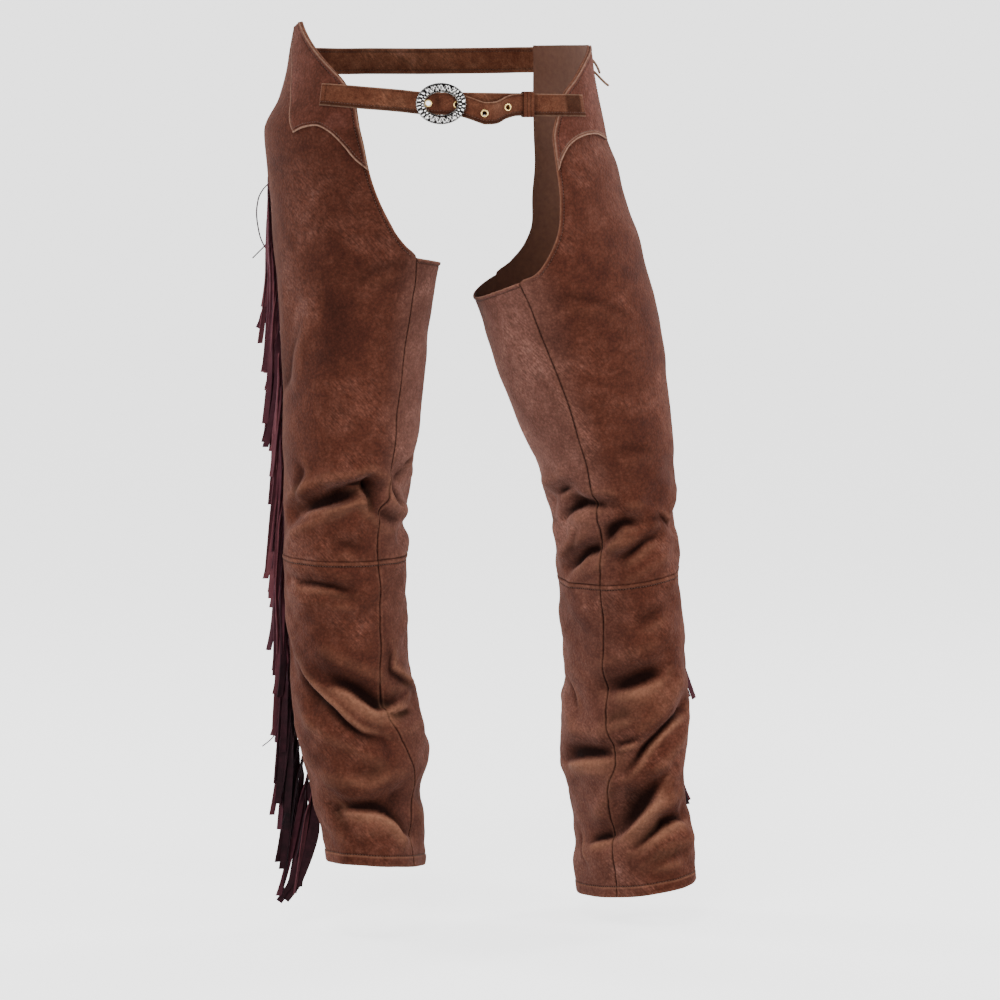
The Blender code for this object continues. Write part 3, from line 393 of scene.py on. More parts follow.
# Creases that are too fine for the solids: half width of the shaded side, half width of the crisp side, depth,
# and points of angle and level. The shaded side is on the left of the way along the points.
CREASES = {
    "R": (
        (11, 2.2, 5.0, ((-8, -438), (4, -444), (20, -450), (35, -455), (56, -462))),
        (4, 1.6, 3.0, ((-9, -436), (-4, -430), (3, -430), (11, -431))),
        (10, 3.0, 7.0, ((-21, -461), (-15, -455), (-13, -446), (-11, -436), (-9, -426))),
        (6, 2.0, 4.0, ((-57, -458), (-45, -449), (-39, -437), (-37, -419))),
        (8, 6.0, 3.0, ((-55, -474), (-40, -470), (-29, -461))),
        (5, 2.0, 3.5, ((-60, -404), (-52, -412))),
        (7, 4.0, 2.6, ((60, -407), (53, -418), (57, -434), (65, -450))),
        (6, 1.8, 3.4, ((-4, -551), (7, -550), (18, -546), (34, -545), (50, -545), (65, -540))),
        (8, 5.0, 1.6, ((-7, -560), (6, -556), (18, -560))),
        (9, 5.0, 2.0, ((-11, -503), (3, -498), (15, -498))),
        (15, 2.4, 6.0, (
            (-58, -677), (-43, -682), (-30, -686), (-22, -686), (-15, -680),
            (-4, -670), (7, -662), (18, -658), (28, -658),
        )),
        (8, 1.8, 4.0, ((-41, -616), (-43, -630), (-43, -642), (-52, -653), (-67, -665), (-85, -676))),
        (5, 2.0, 4.0, ((-31, -692), (-40, -696), (-54, -695), (-65, -694))),
        (7, 2.5, 4.5, (
            (62, -640), (52, -656), (39, -672), (24, -683), (14, -696),
            (6, -707), (-3, -716), (-15, -720), (-22, -722),
        )),
        (10, 2.2, 6.0, (
            (-50, -839), (-39, -832), (-31, -818), (-23, -809),
            (-11, -804), (4, -803), (19, -803), (30, -806),
        )),
        (9, 6.0, 2.0, ((46, -797), (30, -818), (18, -830))),
        (9, 7.0, 1.8, ((-23, -752), (-4, -761), (12, -756))),
        (5, 5, 2.0, ((-57, -410), (-50, -422), (-44, -430))),
        (5, 5, 1.6, ((58, -248), (70, -280), (84, -318), (98, -334))),
        (6, 6, 1.4, ((-24, -190), (-12, -184), (2, -190), (16, -206))),
        (6, 6, 2.6, ((128, -486), (146, -478), (168, -482), (188, -496))),
        (6, 6, 2.4, ((134, -512), (158, -506), (186, -516), (206, -530))),
        (6, 6, 2.0, ((140, -540), (166, -552), (196, -548))),
        (6, 6, 2.4, ((138, -660), (160, -676), (188, -672), (208, -660))),
        (6, 6, 2.2, ((144, -724), (170, -716), (200, -728))),
        (7, 7, 2.4, ((136, -796), (164, -786), (196, -800), (214, -818))),
        (6, 6, 1.6, ((228, -470), (246, -456), (268, -462))),
        (6, 6, 1.8, ((236, -650), (256, -664), (280, -660))),
        (6, 6, 1.6, ((150, -250), (172, -272), (196, -268))),
    ),
    "L": (
        (5, 2.0, 3.5, ((-88, -455), (-79, -450), (-67, -444))),
        (7, 2.0, 4.5, ((-90, -485), (-79, -476), (-66, -468), (-54, -464), (-44, -464), (-34, -466))),
        (9, 2.2, 5.0, ((-48, -506), (-41, -500), (-33, -491), (-25, -485), (-10, -484))),
        (7, 2.0, 4.5, ((-93, -544), (-77, -532), (-67, -522), (-57, -518), (-47, -510))),
        (8, 3.0, 3.6, ((-36, -527), (-27, -522), (-16, -514), (-2, -504), (13, -500))),
        (5, 1.6, 3.4, ((31, -490), (21, -480), (13, -472))),
        (5, 3.0, 2.2, ((1, -479), (10, -479), (16, -486))),
        (6, 3.0, 2.2, ((-70, -492), (-82, -514), (-99, -528))),
        (14, 4.0, 4.5, ((-65, -682), (-53, -678), (-37, -672), (-21, -665), (-8, -658))),
        (7, 4.0, 2.4, ((-68, -719), (-57, -713), (-44, -706))),
        (5, 3.4, 5.0, (
            (-54, -779), (-42, -764), (-34, -752), (-25, -740),
            (-14, -728), (0, -716), (26, -706),
        )),
        (13, 2.4, 5.5, ((-125, -778), (-105, -770), (-93, -766), (-76, -762), (-60, -758))),
        (5, 2.2, 3.6, ((-60, -749), (-51, -743), (-39, -738))),
        (15, 2.8, 5.5, ((-77, -857), (-70, -852), (-60, -840), (-47, -826), (-31, -806), (-16, -788))),
        (9, 2.2, 5.5, ((-58, -868), (-49, -860), (-38, -850), (-23, -840), (-3, -834), (14, -836))),
        (8, 2.4, 4.0, ((-106, -870), (-90, -862), (-79, -858))),
        (10, 6.0, 2.2, ((-43, -882), (-22, -876), (1, -872))),
        (4, 1.5, 2.0, ((-106, -899), (-117, -880), (-125, -863))),
        (4, 1.5, 1.8, ((-101, -714), (-106, -700), (-118, -676))),
        (9, 6.0, 1.8, ((-28, -600), (-14, -594), (4, -581))),
        (6, 6, 1.6, ((-30, -228), (-12, -224), (8, -232), (24, -250))),
        (6, 6, 1.6, ((-20, -404), (0, -396), (20, -402))),
        (6, 6, 2.6, ((128, -520), (148, -510), (170, -516), (190, -530))),
        (6, 6, 2.4, ((134, -548), (158, -540), (186, -550), (206, -562))),
        (6, 6, 2.4, ((136, -676), (160, -690), (188, -684), (206, -672))),
        (6, 6, 2.2, ((144, -744), (170, -736), (200, -746))),
        (7, 7, 2.4, ((134, -820), (164, -808), (194, -820))),
        (6, 6, 1.6, ((228, -500), (246, -486), (262, -492))),
        (6, 6, 1.6, ((150, -280), (172, -300), (196, -296))),
    ),
}

# Low waves of the leather: whole turns round the leg, wavelength up it, height, phase.
WAVES = (
    (5, 61, 0.7, 0.4),
    (9, 118, 0.6, 1.9),
    (-7, 43, 0.45, 3.1),
    (13, -34, 0.25, 0.8),
    (17, 27, 0.16, 2.2),
    (2, -74, 0.9, 5.0),
)
WAVE_TOP = -90.0       # level above which the waves die out
CREASE_STEPS = 20
STEP = 3.6             # spacing of a leg panel's grid behind
FINE_STEP = 2.4        # the same in front, where the creases are sharp
HOLLOW_DARK = 0.95     # how dark the painted shade at the bottom of a crease gets
# Painted highlight on the swell beside a crisp crease: its strength above the knee, then on the shins.
RIDGE_PALE = 0.12
RIDGE_PALE_LOW = 0.62

# Distances from an edge at which a panel has a row or column, for each kind of edge.
NEAR_SEAM = (0, 0.4, 0.9, 1.5, 2.3, 3.4, 4.8, 6.5)
NEAR_TURNED = (0, 0.5, 1.1, 2.2, 3.2, 4.0, 4.6, 5.3, 6.4, 8.5)
NEAR_BAND = (0, 0.4, 0.9, 1.4, 3.0, 4.7, 5.2, 5.6, 6.0, 6.6, 8.0)
NEAR_HEM = (0, 0.5, 1.3, 4, 7, 9.5, 11.6, 12.2, 12.7, 13.2, 14, 15.5)
NEAR_CUT = (0, 0.5, 1.1, 2.0, 3.0, 3.8, 4.6, 6.0)
PLAIN_END = (0,)

FRINGE_ROOTS = 36
STRAND_STATIONS = 20

# Strands placed one by one: half width, whether the broad face is seen from the front, tone from 0 dark to 1 pale,
# and points of level and distance out from the leather. Those 0.8 wide are loose slivers that curl away.
STRAYS = {
    "R": (
        (0.8, False, 0.12, (
            (-98, 2.6), (-105, 10), (-116, 16.5), (-133, 19.4),
            (-154, 17.2), (-169, 12), (-178, 5),
        )),
        (0.8, False, 0.12, ((-152, 3.6), (-162, 7), (-169, 12), (-176, 19.5), (-183, 27.5))),
        (0.8, False, 0.12, (
            (-214, 3.6), (-224, 8), (-233, 16), (-244, 18.8),
            (-263, 16.2), (-280, 9), (-286, 5.4),
        )),
        (0.8, False, 0.12, ((-690, 6), (-712, 14), (-730, 25), (-742, 36.5), (-750, 48))),
        (3.9, True, 0.12, ((-796, 4), (-820, 5), (-845, 9), (-881, 23), (-911, 36), (-930, 50))),
        (3.9, True, 0.12, ((-790, 5), (-818, 7), (-845, 14), (-881, 31), (-911, 44), (-932, 58))),
        (2.6, True, 0.4, ((-228, 6), (-236, 14), (-245, 21), (-254, 24), (-262, 28))),
    ),
    "L": (
        (2.9, True, 0.5, ((-600, 4), (-640, 10), (-672, 21), (-695, 30), (-712, 37))),
        (3.2, True, 0.5, ((-738, 5), (-770, 17), (-800, 30), (-820, 34), (-834, 36))),
    ),
}


def smooth_through(xs, ys, at):
    """A curve through the points (xs, ys): a cubic between each two, which never swings past a point.

    The slope at a point is the harmonic mean of the slopes on its two sides, or 0 at a peak.
    """
    xs = np.asarray(xs, float)
    ys = np.asarray(ys, float)
    at = np.clip(np.asarray(at, float), xs[0], xs[-1])
    side = np.diff(ys) / np.diff(xs)
    same = side[1:] * side[:-1] > 0
    total = np.where(same, side[1:] + side[:-1], 1.0)
    slopes = np.concatenate([side[:1], np.where(same, 2 * side[1:] * side[:-1] / total, 0.0), side[-1:]])
    i = np.clip(np.searchsorted(xs, at, side="right") - 1, 0, len(xs) - 2)
    span = xs[i + 1] - xs[i]
    t = (at - xs[i]) / span
    start = (2 * t**3 - 3 * t**2 + 1) * ys[i] + (t**3 - 2 * t**2 + t) * span * slopes[i]
    return start + (3 * t**2 - 2 * t**3) * ys[i + 1] + (t**3 - t**2) * span * slopes[i + 1]


def line_angle(table, level):
    """The angle of a seam or edge line at a level."""
    rows = np.array(table, float)
    return smooth_through(rows[:, 0], rows[:, 1], level)


def ring_point(leg, angle, level):
    """A point of the leg's plain form, in millimetres: an ellipse ring, turned, at the level."""
    rows = np.array(RINGS[leg], float)[::-1]
    x, y, wide, deep, turn = (smooth_through(rows[:, 0], rows[:, k], level) for k in range(1, 6))
    round_leg = np.radians(angle)
    a = np.radians(turn)
    across = SIDES[leg] * wide * np.sin(round_leg)
    along = -deep * np.cos(round_leg)
    return np.stack(
        [
            x + across * np.cos(a) - along * np.sin(a),
            y + across * np.sin(a) + along * np.cos(a),
            level + 0 * across,
        ],
        -1,
    )


def unit(vectors):
    """Vectors scaled to a length of 1."""
    return vectors / np.linalg.norm(vectors, axis=-1, keepdims=True)


def outward(leg, angle, level):
    """The unit normal of the plain form, from two short steps on it."""
    step_round = ring_point(leg, angle + 0.5, level) - ring_point(leg, angle - 0.5, level)
    step_up = ring_point(leg, angle, level + 2) - ring_point(leg, angle, level - 2)
    return SIDES[leg] * unit(np.cross(step_round, step_up))


def plane_level(leg, plane, angle):
    """The level of a cross plane at an angle."""
    level, rise, toward = PLANES[leg][plane]
    return level + rise * np.cos(np.radians(angle - toward))


def fold_depth(leg, angle, level):
    """How far folds push the leather in: soft troughs with a low ridge on each side, tapered at both ends."""
    inwards = np.zeros(np.broadcast(angle, level).shape)
    for angle_a, level_a, angle_b, level_b, half_width, depth in FOLDS[leg]:
        turn = (np.asarray(angle) - angle_a + 180) % 360 - 180
        across = np.radians(turn) * FOLD_ARC
        up = level - level_a
        run_across = np.radians((angle_b - angle_a + 180) % 360 - 180) * FOLD_ARC
        run_up = level_b - level_a
        length = np.hypot(run_across, run_up)
        along = (across * run_across + up * run_up) / length
        beside = (up * run_across - across * run_up) / length / half_width
        past = np.maximum(0, np.maximum(-along, along - length)) / half_width
        trough = np.exp(-beside**2) - 0.38 * np.exp(-((np.abs(beside) - 1.9) / 0.75) ** 2)
        inwards = inwards + depth * trough * np.exp(-past**2 * 0.8)
    seam = line_angle(OUTSEAM_LINE[leg], level)
    off_seam = np.abs((np.asarray(angle) - seam + 180) % 360 - 180) / SEAM_CLEAR
    off_hem = (level - plane_level(leg, "hem", angle)) / HEM_CLEAR
    return inwards * np.clip(off_seam - 0.5, 0, 1) * np.clip(off_hem, 0, 1)


def leg_surface(leg, angle, level, lift):
    """A point of the folded leather, lifted along the normal of the plain form, in millimetres."""
    push = lift - fold_depth(leg, angle, level)
    return ring_point(leg, angle, level) + outward(leg, angle, level) * np.asarray(push)[..., None]


def path_curve(points, count):
    """A smooth curve through points in space, read at equal shares of its length."""
    points = np.asarray(points, float)
    at = np.concatenate([[0], np.cumsum(np.linalg.norm(np.diff(points, axis=0), axis=1))])
    fine = np.linspace(0, at[-1], 40 * len(points))
    curve = np.stack([smooth_through(at, points[:, k], fine) for k in range(points.shape[1])], -1)
    run = np.concatenate([[0], np.cumsum(np.linalg.norm(np.diff(curve[:, :3], axis=0), axis=1))])
    even = np.linspace(0, run[-1], count)
    return np.stack([np.interp(even, run, curve[:, k]) for k in range(points.shape[1])], -1), run[-1]


def belt_place(x, out, height):
    """A point in front of the belt line, out millimetres along its level normal."""
    rows = np.array(BELT_LINE, float)
    y = smooth_through(rows[:, 0], rows[:, 1], x)
    slope = smooth_through(rows[:, 0], rows[:, 1], x + 1) - smooth_through(rows[:, 0], rows[:, 1], x - 1)
    normal = unit(np.array([slope / 2, -1.0]))
    return (x + out * normal[0], y + out * normal[1], height)


def on_leg_strap(leg, places, high, lift):
    """Middle of a strap lying on a leg, with the lean of its face: six numbers a row."""
    found = []
    for angle, height in places:
        low = leg_surface(leg, np.array(float(angle)), np.array(height - high / 2), lift)
        top = leg_surface(leg, np.array(float(angle)), np.array(height + high / 2), lift)
        found.append((*((low + top) / 2), *unit(top - low)))
    return found


def upright(points):
    """Points with a level way up added, which makes six numbers a row."""
    return [(*p, 0.0, 0.0, 1.0) for p in points]


def hang_frame(leg, level):
    """Point on the outseam, the direction round the leg and the level direction outwards."""
    level = np.asarray(level, float)
    angle = line_angle(OUTSEAM_LINE[leg], level)
    spot = ring_point(leg, angle, level)
    away = outward(leg, angle, level)
    away[..., 2] = 0
    away = unit(away)
    round_leg = np.stack([-away[..., 1], away[..., 0], 0 * level], -1)
    return spot, round_leg, away


def turned_back(table):
    """A front line read from behind the leg: its angles raised by a whole turn."""
    return tuple((level, angle + 360) for level, angle in table)


def between(a, b, share):
    """The value at a share of the way from a to b."""
    return a + (b - a) * share


def ease(low, high, at):
    """A smooth step from 0 at low to 1 at high."""
    t = np.clip((at - low) / (high - low), 0, 1)
    return t * t * (3 - 2 * t)


def bell(at, centre, width):
    """A bell curve of height 1."""
    return np.exp(-(((at - centre) / width) ** 2))


# Small shared makers

def linear_colour(hex_value):
    """An sRGB hex value as a linear colour with full alpha."""
    parts = [int(hex_value[k:k + 2], 16) / 255 for k in (0, 2, 4)]
    line = [c / 12.92 if c <= 0.04045 else ((c + 0.055) / 1.055) ** 2.4 for c in parts]
    return (*line, 1.0)


def add(tree, kind, inputs=None, **settings):
    """Adds a node with its settings, and puts a value or another node's output on each named input."""
    node = tree.nodes.new(kind)
    for key, value in settings.items():
        setattr(node, key, value)
    for socket, value in (inputs or {}).items():
        if isinstance(value, bpy.types.NodeSocket):
            tree.links.new(value, node.inputs[socket])
        else:
            node.inputs[socket].default_value = value
    return node


def blend(tree, share, first, second, mode="MIX"):
    """A mix of two colours by a share."""
    node = add(tree, "ShaderNodeMix", {0: share, 6: first, 7: second}, data_type="RGBA", blend_type=mode)
    return node.outputs[2]


def ramp(tree, value, stops):
    """A colour ramp of (place, hex value) stops."""
    node = add(tree, "ShaderNodeValToRGB", {0: value})
    while len(node.color_ramp.elements) < len(stops):
        node.color_ramp.elements.new(0.5)
    for element, (place, hex_value) in zip(node.color_ramp.elements, stops):
        element.position = place
        element.color = linear_colour(hex_value)
    return node.outputs[0]


def attribute(tree, name):
    """A value that each point of the mesh carries, such as how worn it is."""
    return add(tree, "ShaderNodeAttribute", attribute_name=name).outputs["Fac"]


def math(tree, operation, first, second=0.0):
    """A sum or product, kept between 0 and 1."""
    return add(tree, "ShaderNodeMath", {0: first, 1: second}, operation=operation, use_clamp=True).outputs[0]


def mapped(tree, scale):
    """Object coordinates times a scale, in repeats per metre."""
    place = add(tree, "ShaderNodeTexCoord").outputs["Object"]
    return add(tree, "ShaderNodeMapping", {"Vector": place, "Scale": scale}).outputs[0]


def noise(tree, place, scale, detail=3.0, rough=0.55, twist=0.0):
    """A cloudy noise, scale in repeats per metre."""
    inputs = {"Vector": place, "Scale": scale, "Detail": detail, "Roughness": rough, "Distortion": twist}
    return add(tree, "ShaderNodeTexNoise", inputs).outputs[0]


def leather_finish(name, stops, hollow_hex, worn_hex, rubbed=None, grain=330.0, bump=0.001, sheen=0.2):
    """Suede: soft mottling 60 mm and 14 mm across, a pebbled grain of about 3 mm, and a fine nap over it.

    The colour runs through the stops with the mottling. Shade is painted on it, dark and red, in creases, folds,
    seams and grooves, where the sheen is taken away too. Worn edges and ridges are painted pale, partly as painted
    highlights, and an optional second, paler set of stops paints light on the sides of the legs that face each other.
    Suede has no gloss, only a sheen where the nap is seen from the side.
    """
    material = bpy.data.materials.new(name)
    material.use_nodes = True
    tree = material.node_tree
    shader = tree.nodes["Principled BSDF"]
    place = mapped(tree, (1, 1, 1))
    broad = noise(tree, place, 15.0, 3.0, 0.5, 0.6)
    cloud = noise(tree, place, 62.0, 4.0, 0.62, 0.3)
    fleck = noise(tree, place, 260.0, 3.0, 0.65)
    nap = noise(tree, place, 950.0, 2.0, 0.6)
    pebble = add(tree, "ShaderNodeTexVoronoi", {"Vector": place, "Scale": grain, "Randomness": 1.0}).outputs["Distance"]
    mottled = add(tree, "ShaderNodeMix", {0: 0.4, 2: broad, 3: cloud}).outputs[0]
    mottled = add(tree, "ShaderNodeMix", {0: 0.18, 2: mottled, 3: fleck}).outputs[0]
    colour = ramp(tree, mottled, stops)
    # Painted light: where a point carries it, the colour comes from a second, paler ramp.
    if rubbed:
        colour = blend(tree, attribute(tree, "rubbed"), colour, ramp(tree, mottled, rubbed))
    pits = add(tree, "ShaderNodeMapRange", {0: pebble, 1: 0.15, 2: 0.75, 3: 1.14, 4: 0.74}).outputs[0]
    nap_light = add(tree, "ShaderNodeMapRange", {0: nap, 1: 0.3, 2: 0.7, 3: 0.78, 4: 1.22}).outputs[0]
    fleck_light = add(tree, "ShaderNodeMapRange", {0: fleck, 1: 0.3, 2: 0.7, 3: 0.93, 4: 1.07}).outputs[0]
    both = add(tree, "ShaderNodeMath", {0: pits, 1: nap_light}, operation="MULTIPLY").outputs[0]
    both = add(tree, "ShaderNodeMath", {0: both, 1: fleck_light}, operation="MULTIPLY").outputs[0]
    slanted = add(tree, "ShaderNodeMapping", {"Vector": place, "Rotation": (0, 0.75, 0)}).outputs[0]
    drawn = add(tree, "ShaderNodeMapping", {"Vector": slanted, "Scale": (1.0, 0.3, 0.16)}).outputs[0]
    hatch = noise(tree, drawn, 620.0, 1.0, 0.5)
    patch = add(tree, "ShaderNodeMapRange", {0: broad, 1: 0.5, 2: 0.6, 3: 0.0, 4: 1.0}).outputs[0]
    hatch_light = add(tree, "ShaderNodeMapRange", {0: hatch, 1: 0.35, 2: 0.65, 3: 0.68, 4: 1.28}).outputs[0]
    hatch_light = add(tree, "ShaderNodeMix", {0: patch, 2: 1.0, 3: hatch_light}).outputs[0]
    both = add(tree, "ShaderNodeMath", {0: both, 1: hatch_light}, operation="MULTIPLY").outputs[0]
    grey = add(tree, "ShaderNodeCombineColor", {0: both, 1: both, 2: both}).outputs[0]
    colour = blend(tree, 0.85, colour, blend(tree, 1.0, colour, grey, "MULTIPLY"))
    # Painted shade: the colour is mixed towards a dark red where the points carry painted shade.
    hollow = math(tree, "MULTIPLY", attribute(tree, "hollow"), 0.96)
    colour = blend(tree, hollow, colour, linear_colour(hollow_hex))
    # Wear and painted highlight: the colour is mixed towards a pale tan on worn edges and on ridges where a highlight
    # is painted.
    patchy = add(tree, "ShaderNodeMapRange", {0: fleck, 1: 0.3, 2: 0.65, 3: 0.55, 4: 1.05}).outputs[0]
    worn = math(tree, "MULTIPLY", attribute(tree, "worn"), patchy)
    colour = blend(tree, worn, colour, linear_colour(worn_hex))
    tree.links.new(colour, shader.inputs["Base Color"])
    lumps = add(tree, "ShaderNodeMix", {0: 0.35, 2: pebble, 3: nap}).outputs[0]
    rise = add(tree, "ShaderNodeBump", {"Strength": 0.75, "Distance": bump, "Height": lumps})
    tree.links.new(rise.outputs[0], shader.inputs["Normal"])
    shader.inputs["Roughness"].default_value = 0.9
    shader.inputs["Specular IOR Level"].default_value = 0.05
    # The sheen is taken away where shade is painted.
    nap_sheen = add(tree, "ShaderNodeMapRange", {0: hollow, 1: 0.0, 2: 0.6, 3: sheen, 4: 0.0}).outputs[0]
    tree.links.new(nap_sheen, shader.inputs["Sheen Weight"])
    shader.inputs["Sheen Roughness"].default_value = 0.5
    shader.inputs["Sheen Tint"].default_value = linear_colour("f0c4b8")
    return material


def plain_finish(name, hex_value, roughness, metallic=0.0, second=None, scale=900.0, bump=0.0001):
    """A flat finish with a fine wander of tone and a fine bump."""
    material = bpy.data.materials.new(name)
    material.use_nodes = True
    tree = material.node_tree
    shader = tree.nodes["Principled BSDF"]
    wander = noise(tree, mapped(tree, (1, 1, 1)), scale, 3.0, 0.6)
    colour = blend(tree, wander, linear_colour(hex_value), linear_colour(second or hex_value))
    tree.links.new(colour, shader.inputs["Base Color"])
    rise = add(tree, "ShaderNodeBump", {"Strength": 0.5, "Distance": bump, "Height": wander})
    tree.links.new(rise.outputs[0], shader.inputs["Normal"])
    shader.inputs["Roughness"].default_value = roughness
    shader.inputs["Metallic"].default_value = metallic
    return material


def silver_finish():
    """Cast silver-coloured metal: bright on the relief, with black patina left in the recesses."""
    material = bpy.data.materials.new("antiqued_cast_silver")
    material.use_nodes = True
    tree = material.node_tree
    shader = tree.nodes["Principled BSDF"]
    wander = noise(tree, mapped(tree, (1, 1, 1)), 1400.0, 3.0, 0.6)
    bright = blend(tree, wander, linear_colour("e9e8e6"), linear_colour("bdbcbb"))
    dark = math(tree, "MULTIPLY", attribute(tree, "recess"), 1.0)
    colour = blend(tree, dark, bright, linear_colour("120f10"))
    tree.links.new(colour, shader.inputs["Base Color"])
    rise = add(tree, "ShaderNodeBump", {"Strength": 0.4, "Distance": 0.0001, "Height": wander})
    tree.links.new(rise.outputs[0], shader.inputs["Normal"])
    gloss = add(tree, "ShaderNodeMapRange", {0: dark, 1: 0.0, 2: 1.0, 3: 0.24, 4: 0.75}).outputs[0]
    tree.links.new(gloss, shader.inputs["Roughness"])
    shader.inputs["Metallic"].default_value = 1.0
    return material


def strand_finish():
    """Dark suede strands, each with its own tone."""
    material = bpy.data.materials.new("aubergine_suede_strands")
    material.use_nodes = True
    tree = material.node_tree
    shader = tree.nodes["Principled BSDF"]
    place = mapped(tree, (1, 1, 1))
    cloud = noise(tree, place, 90.0, 3.0, 0.6)
    nap = noise(tree, place, 1300.0, 2.0, 0.6)
    # The tone attribute holds each strand's own tone, with painted shade on the low strands that hang close to the leg.
    tone = math(tree, "MULTIPLY", attribute(tree, "tone"), 0.75)
    tone = math(tree, "ADD", tone, math(tree, "MULTIPLY", cloud, 0.35))
    colour = ramp(tree, tone, ((0.14, "0c0507"), (0.28, "2c141a"), (0.45, "45212a"), (0.75, "68383f"), (1.0, "8a5659")))
    speck = add(tree, "ShaderNodeMapRange", {0: nap, 1: 0.3, 2: 0.7, 3: 0.75, 4: 1.25}).outputs[0]
    grey = add(tree, "ShaderNodeCombineColor", {0: speck, 1: speck, 2: speck}).outputs[0]
    colour = blend(tree, 0.45, colour, blend(tree, 1.0, colour, grey, "MULTIPLY"))
    tree.links.new(colour, shader.inputs["Base Color"])
    rise = add(tree, "ShaderNodeBump", {"Strength": 0.6, "Distance": 0.0003, "Height": nap})
    tree.links.new(rise.outputs[0], shader.inputs["Normal"])
    shader.inputs["Roughness"].default_value = 0.85
    shader.inputs["Specular IOR Level"].default_value = 0.1
    shader.inputs["Sheen Weight"].default_value = 0.3
    shader.inputs["Sheen Roughness"].default_value = 0.4
    shader.inputs["Sheen Tint"].default_value = linear_colour("d8b8c8")
    return material


def signed_volume(points, faces):
    """Six times the volume inside faces of three or four corners, positive where they face out."""
    a, b, c = (points[faces[:, k]] for k in range(3))
    total = np.einsum("ij,ij->i", a, np.cross(b, c)).sum()
    if faces.shape[1] == 4:
        d = points[faces[:, 3]]
        total += np.einsum("ij,ij->i", a, np.cross(c, d)).sum()
    return total


def make_piece(name, points, faces, finishes, slot, replaced=(), inside=None, sharp=50, **values):
    """A closed piece from points in millimetres and faces of four corners, turned to face out."""
    points = np.asarray(points, float).reshape(-1, 3)
    faces = np.asarray(faces)
    if signed_volume(points, faces) < 0:
        faces = faces[:, ::-1]
    mesh = bpy.data.meshes.new(name)
    mesh.from_pydata((points * MM).tolist(), [], faces.tolist())
    for key, value in values.items():
        layer = mesh.attributes.new(key, "FLOAT", "POINT")
        layer.data.foreach_set("value", np.asarray(value, np.float32).reshape(-1))
    for finish in finishes:
        mesh.materials.append(finish)
    if inside is not None:
        mesh.polygons.foreach_set("material_index", np.asarray(inside, np.int32))
    mesh.shade_smooth()
    mesh.set_sharp_from_angle(angle=np.radians(sharp))
    mesh.update()
    item = bpy.data.objects.new(name, mesh)
    bpy.context.scene.collection.objects.link(item)
    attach(item, "root")
    if replaced:
        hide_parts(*replaced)
    return item


def grid_faces(rows, columns, start=0):
    """The four-cornered faces of a grid of points."""
    number = np.arange(rows * columns).reshape(rows, columns) + start
    quads = np.stack([number[:-1, :-1], number[:-1, 1:], number[1:, 1:], number[1:, :-1]], -1)
    return quads.reshape(-1, 4)


def shell_faces(rows, columns):
    """Faces of a closed wall between two like grids, and which of them are on the second grid."""
    outer = grid_faces(rows, columns)
    inner = grid_faces(rows, columns, rows * columns)[:, ::-1]
    number = np.arange(rows * columns).reshape(rows, columns)
    rim = np.concatenate([number[0, :-1], number[:-1, -1], number[-1, :0:-1], number[:0:-1, 0]])
    after = np.roll(rim, -1)
    edge = np.stack([after, rim, rim + rows * columns, after + rows * columns], -1)
    faces = np.concatenate([outer, edge, inner])
    on_inner = np.arange(len(faces)) >= len(outer) + len(edge)
    return faces, on_inner


def swept_faces(stations, around):
    """Faces of a closed tube of stations, each with the same number of points around it, without its ends."""
    number = np.arange(stations * around).reshape(stations, around)
    after = np.roll(number, -1, axis=1)
    return np.stack([number[:-1], after[:-1], after[1:], number[1:]], -1).reshape(-1, 4)


# The leather of the legs

def off_outseam(leg, angle, level):
    """0 beside the outseam, where the fringe's strip lies flat, rising to 1 some way off it."""
    seam = line_angle(OUTSEAM_LINE[leg], level)
    away = np.abs((np.asarray(angle) - seam + 180) % 360 - 180) / SEAM_CLEAR
    return np.clip(away - 0.5, 0, 1)


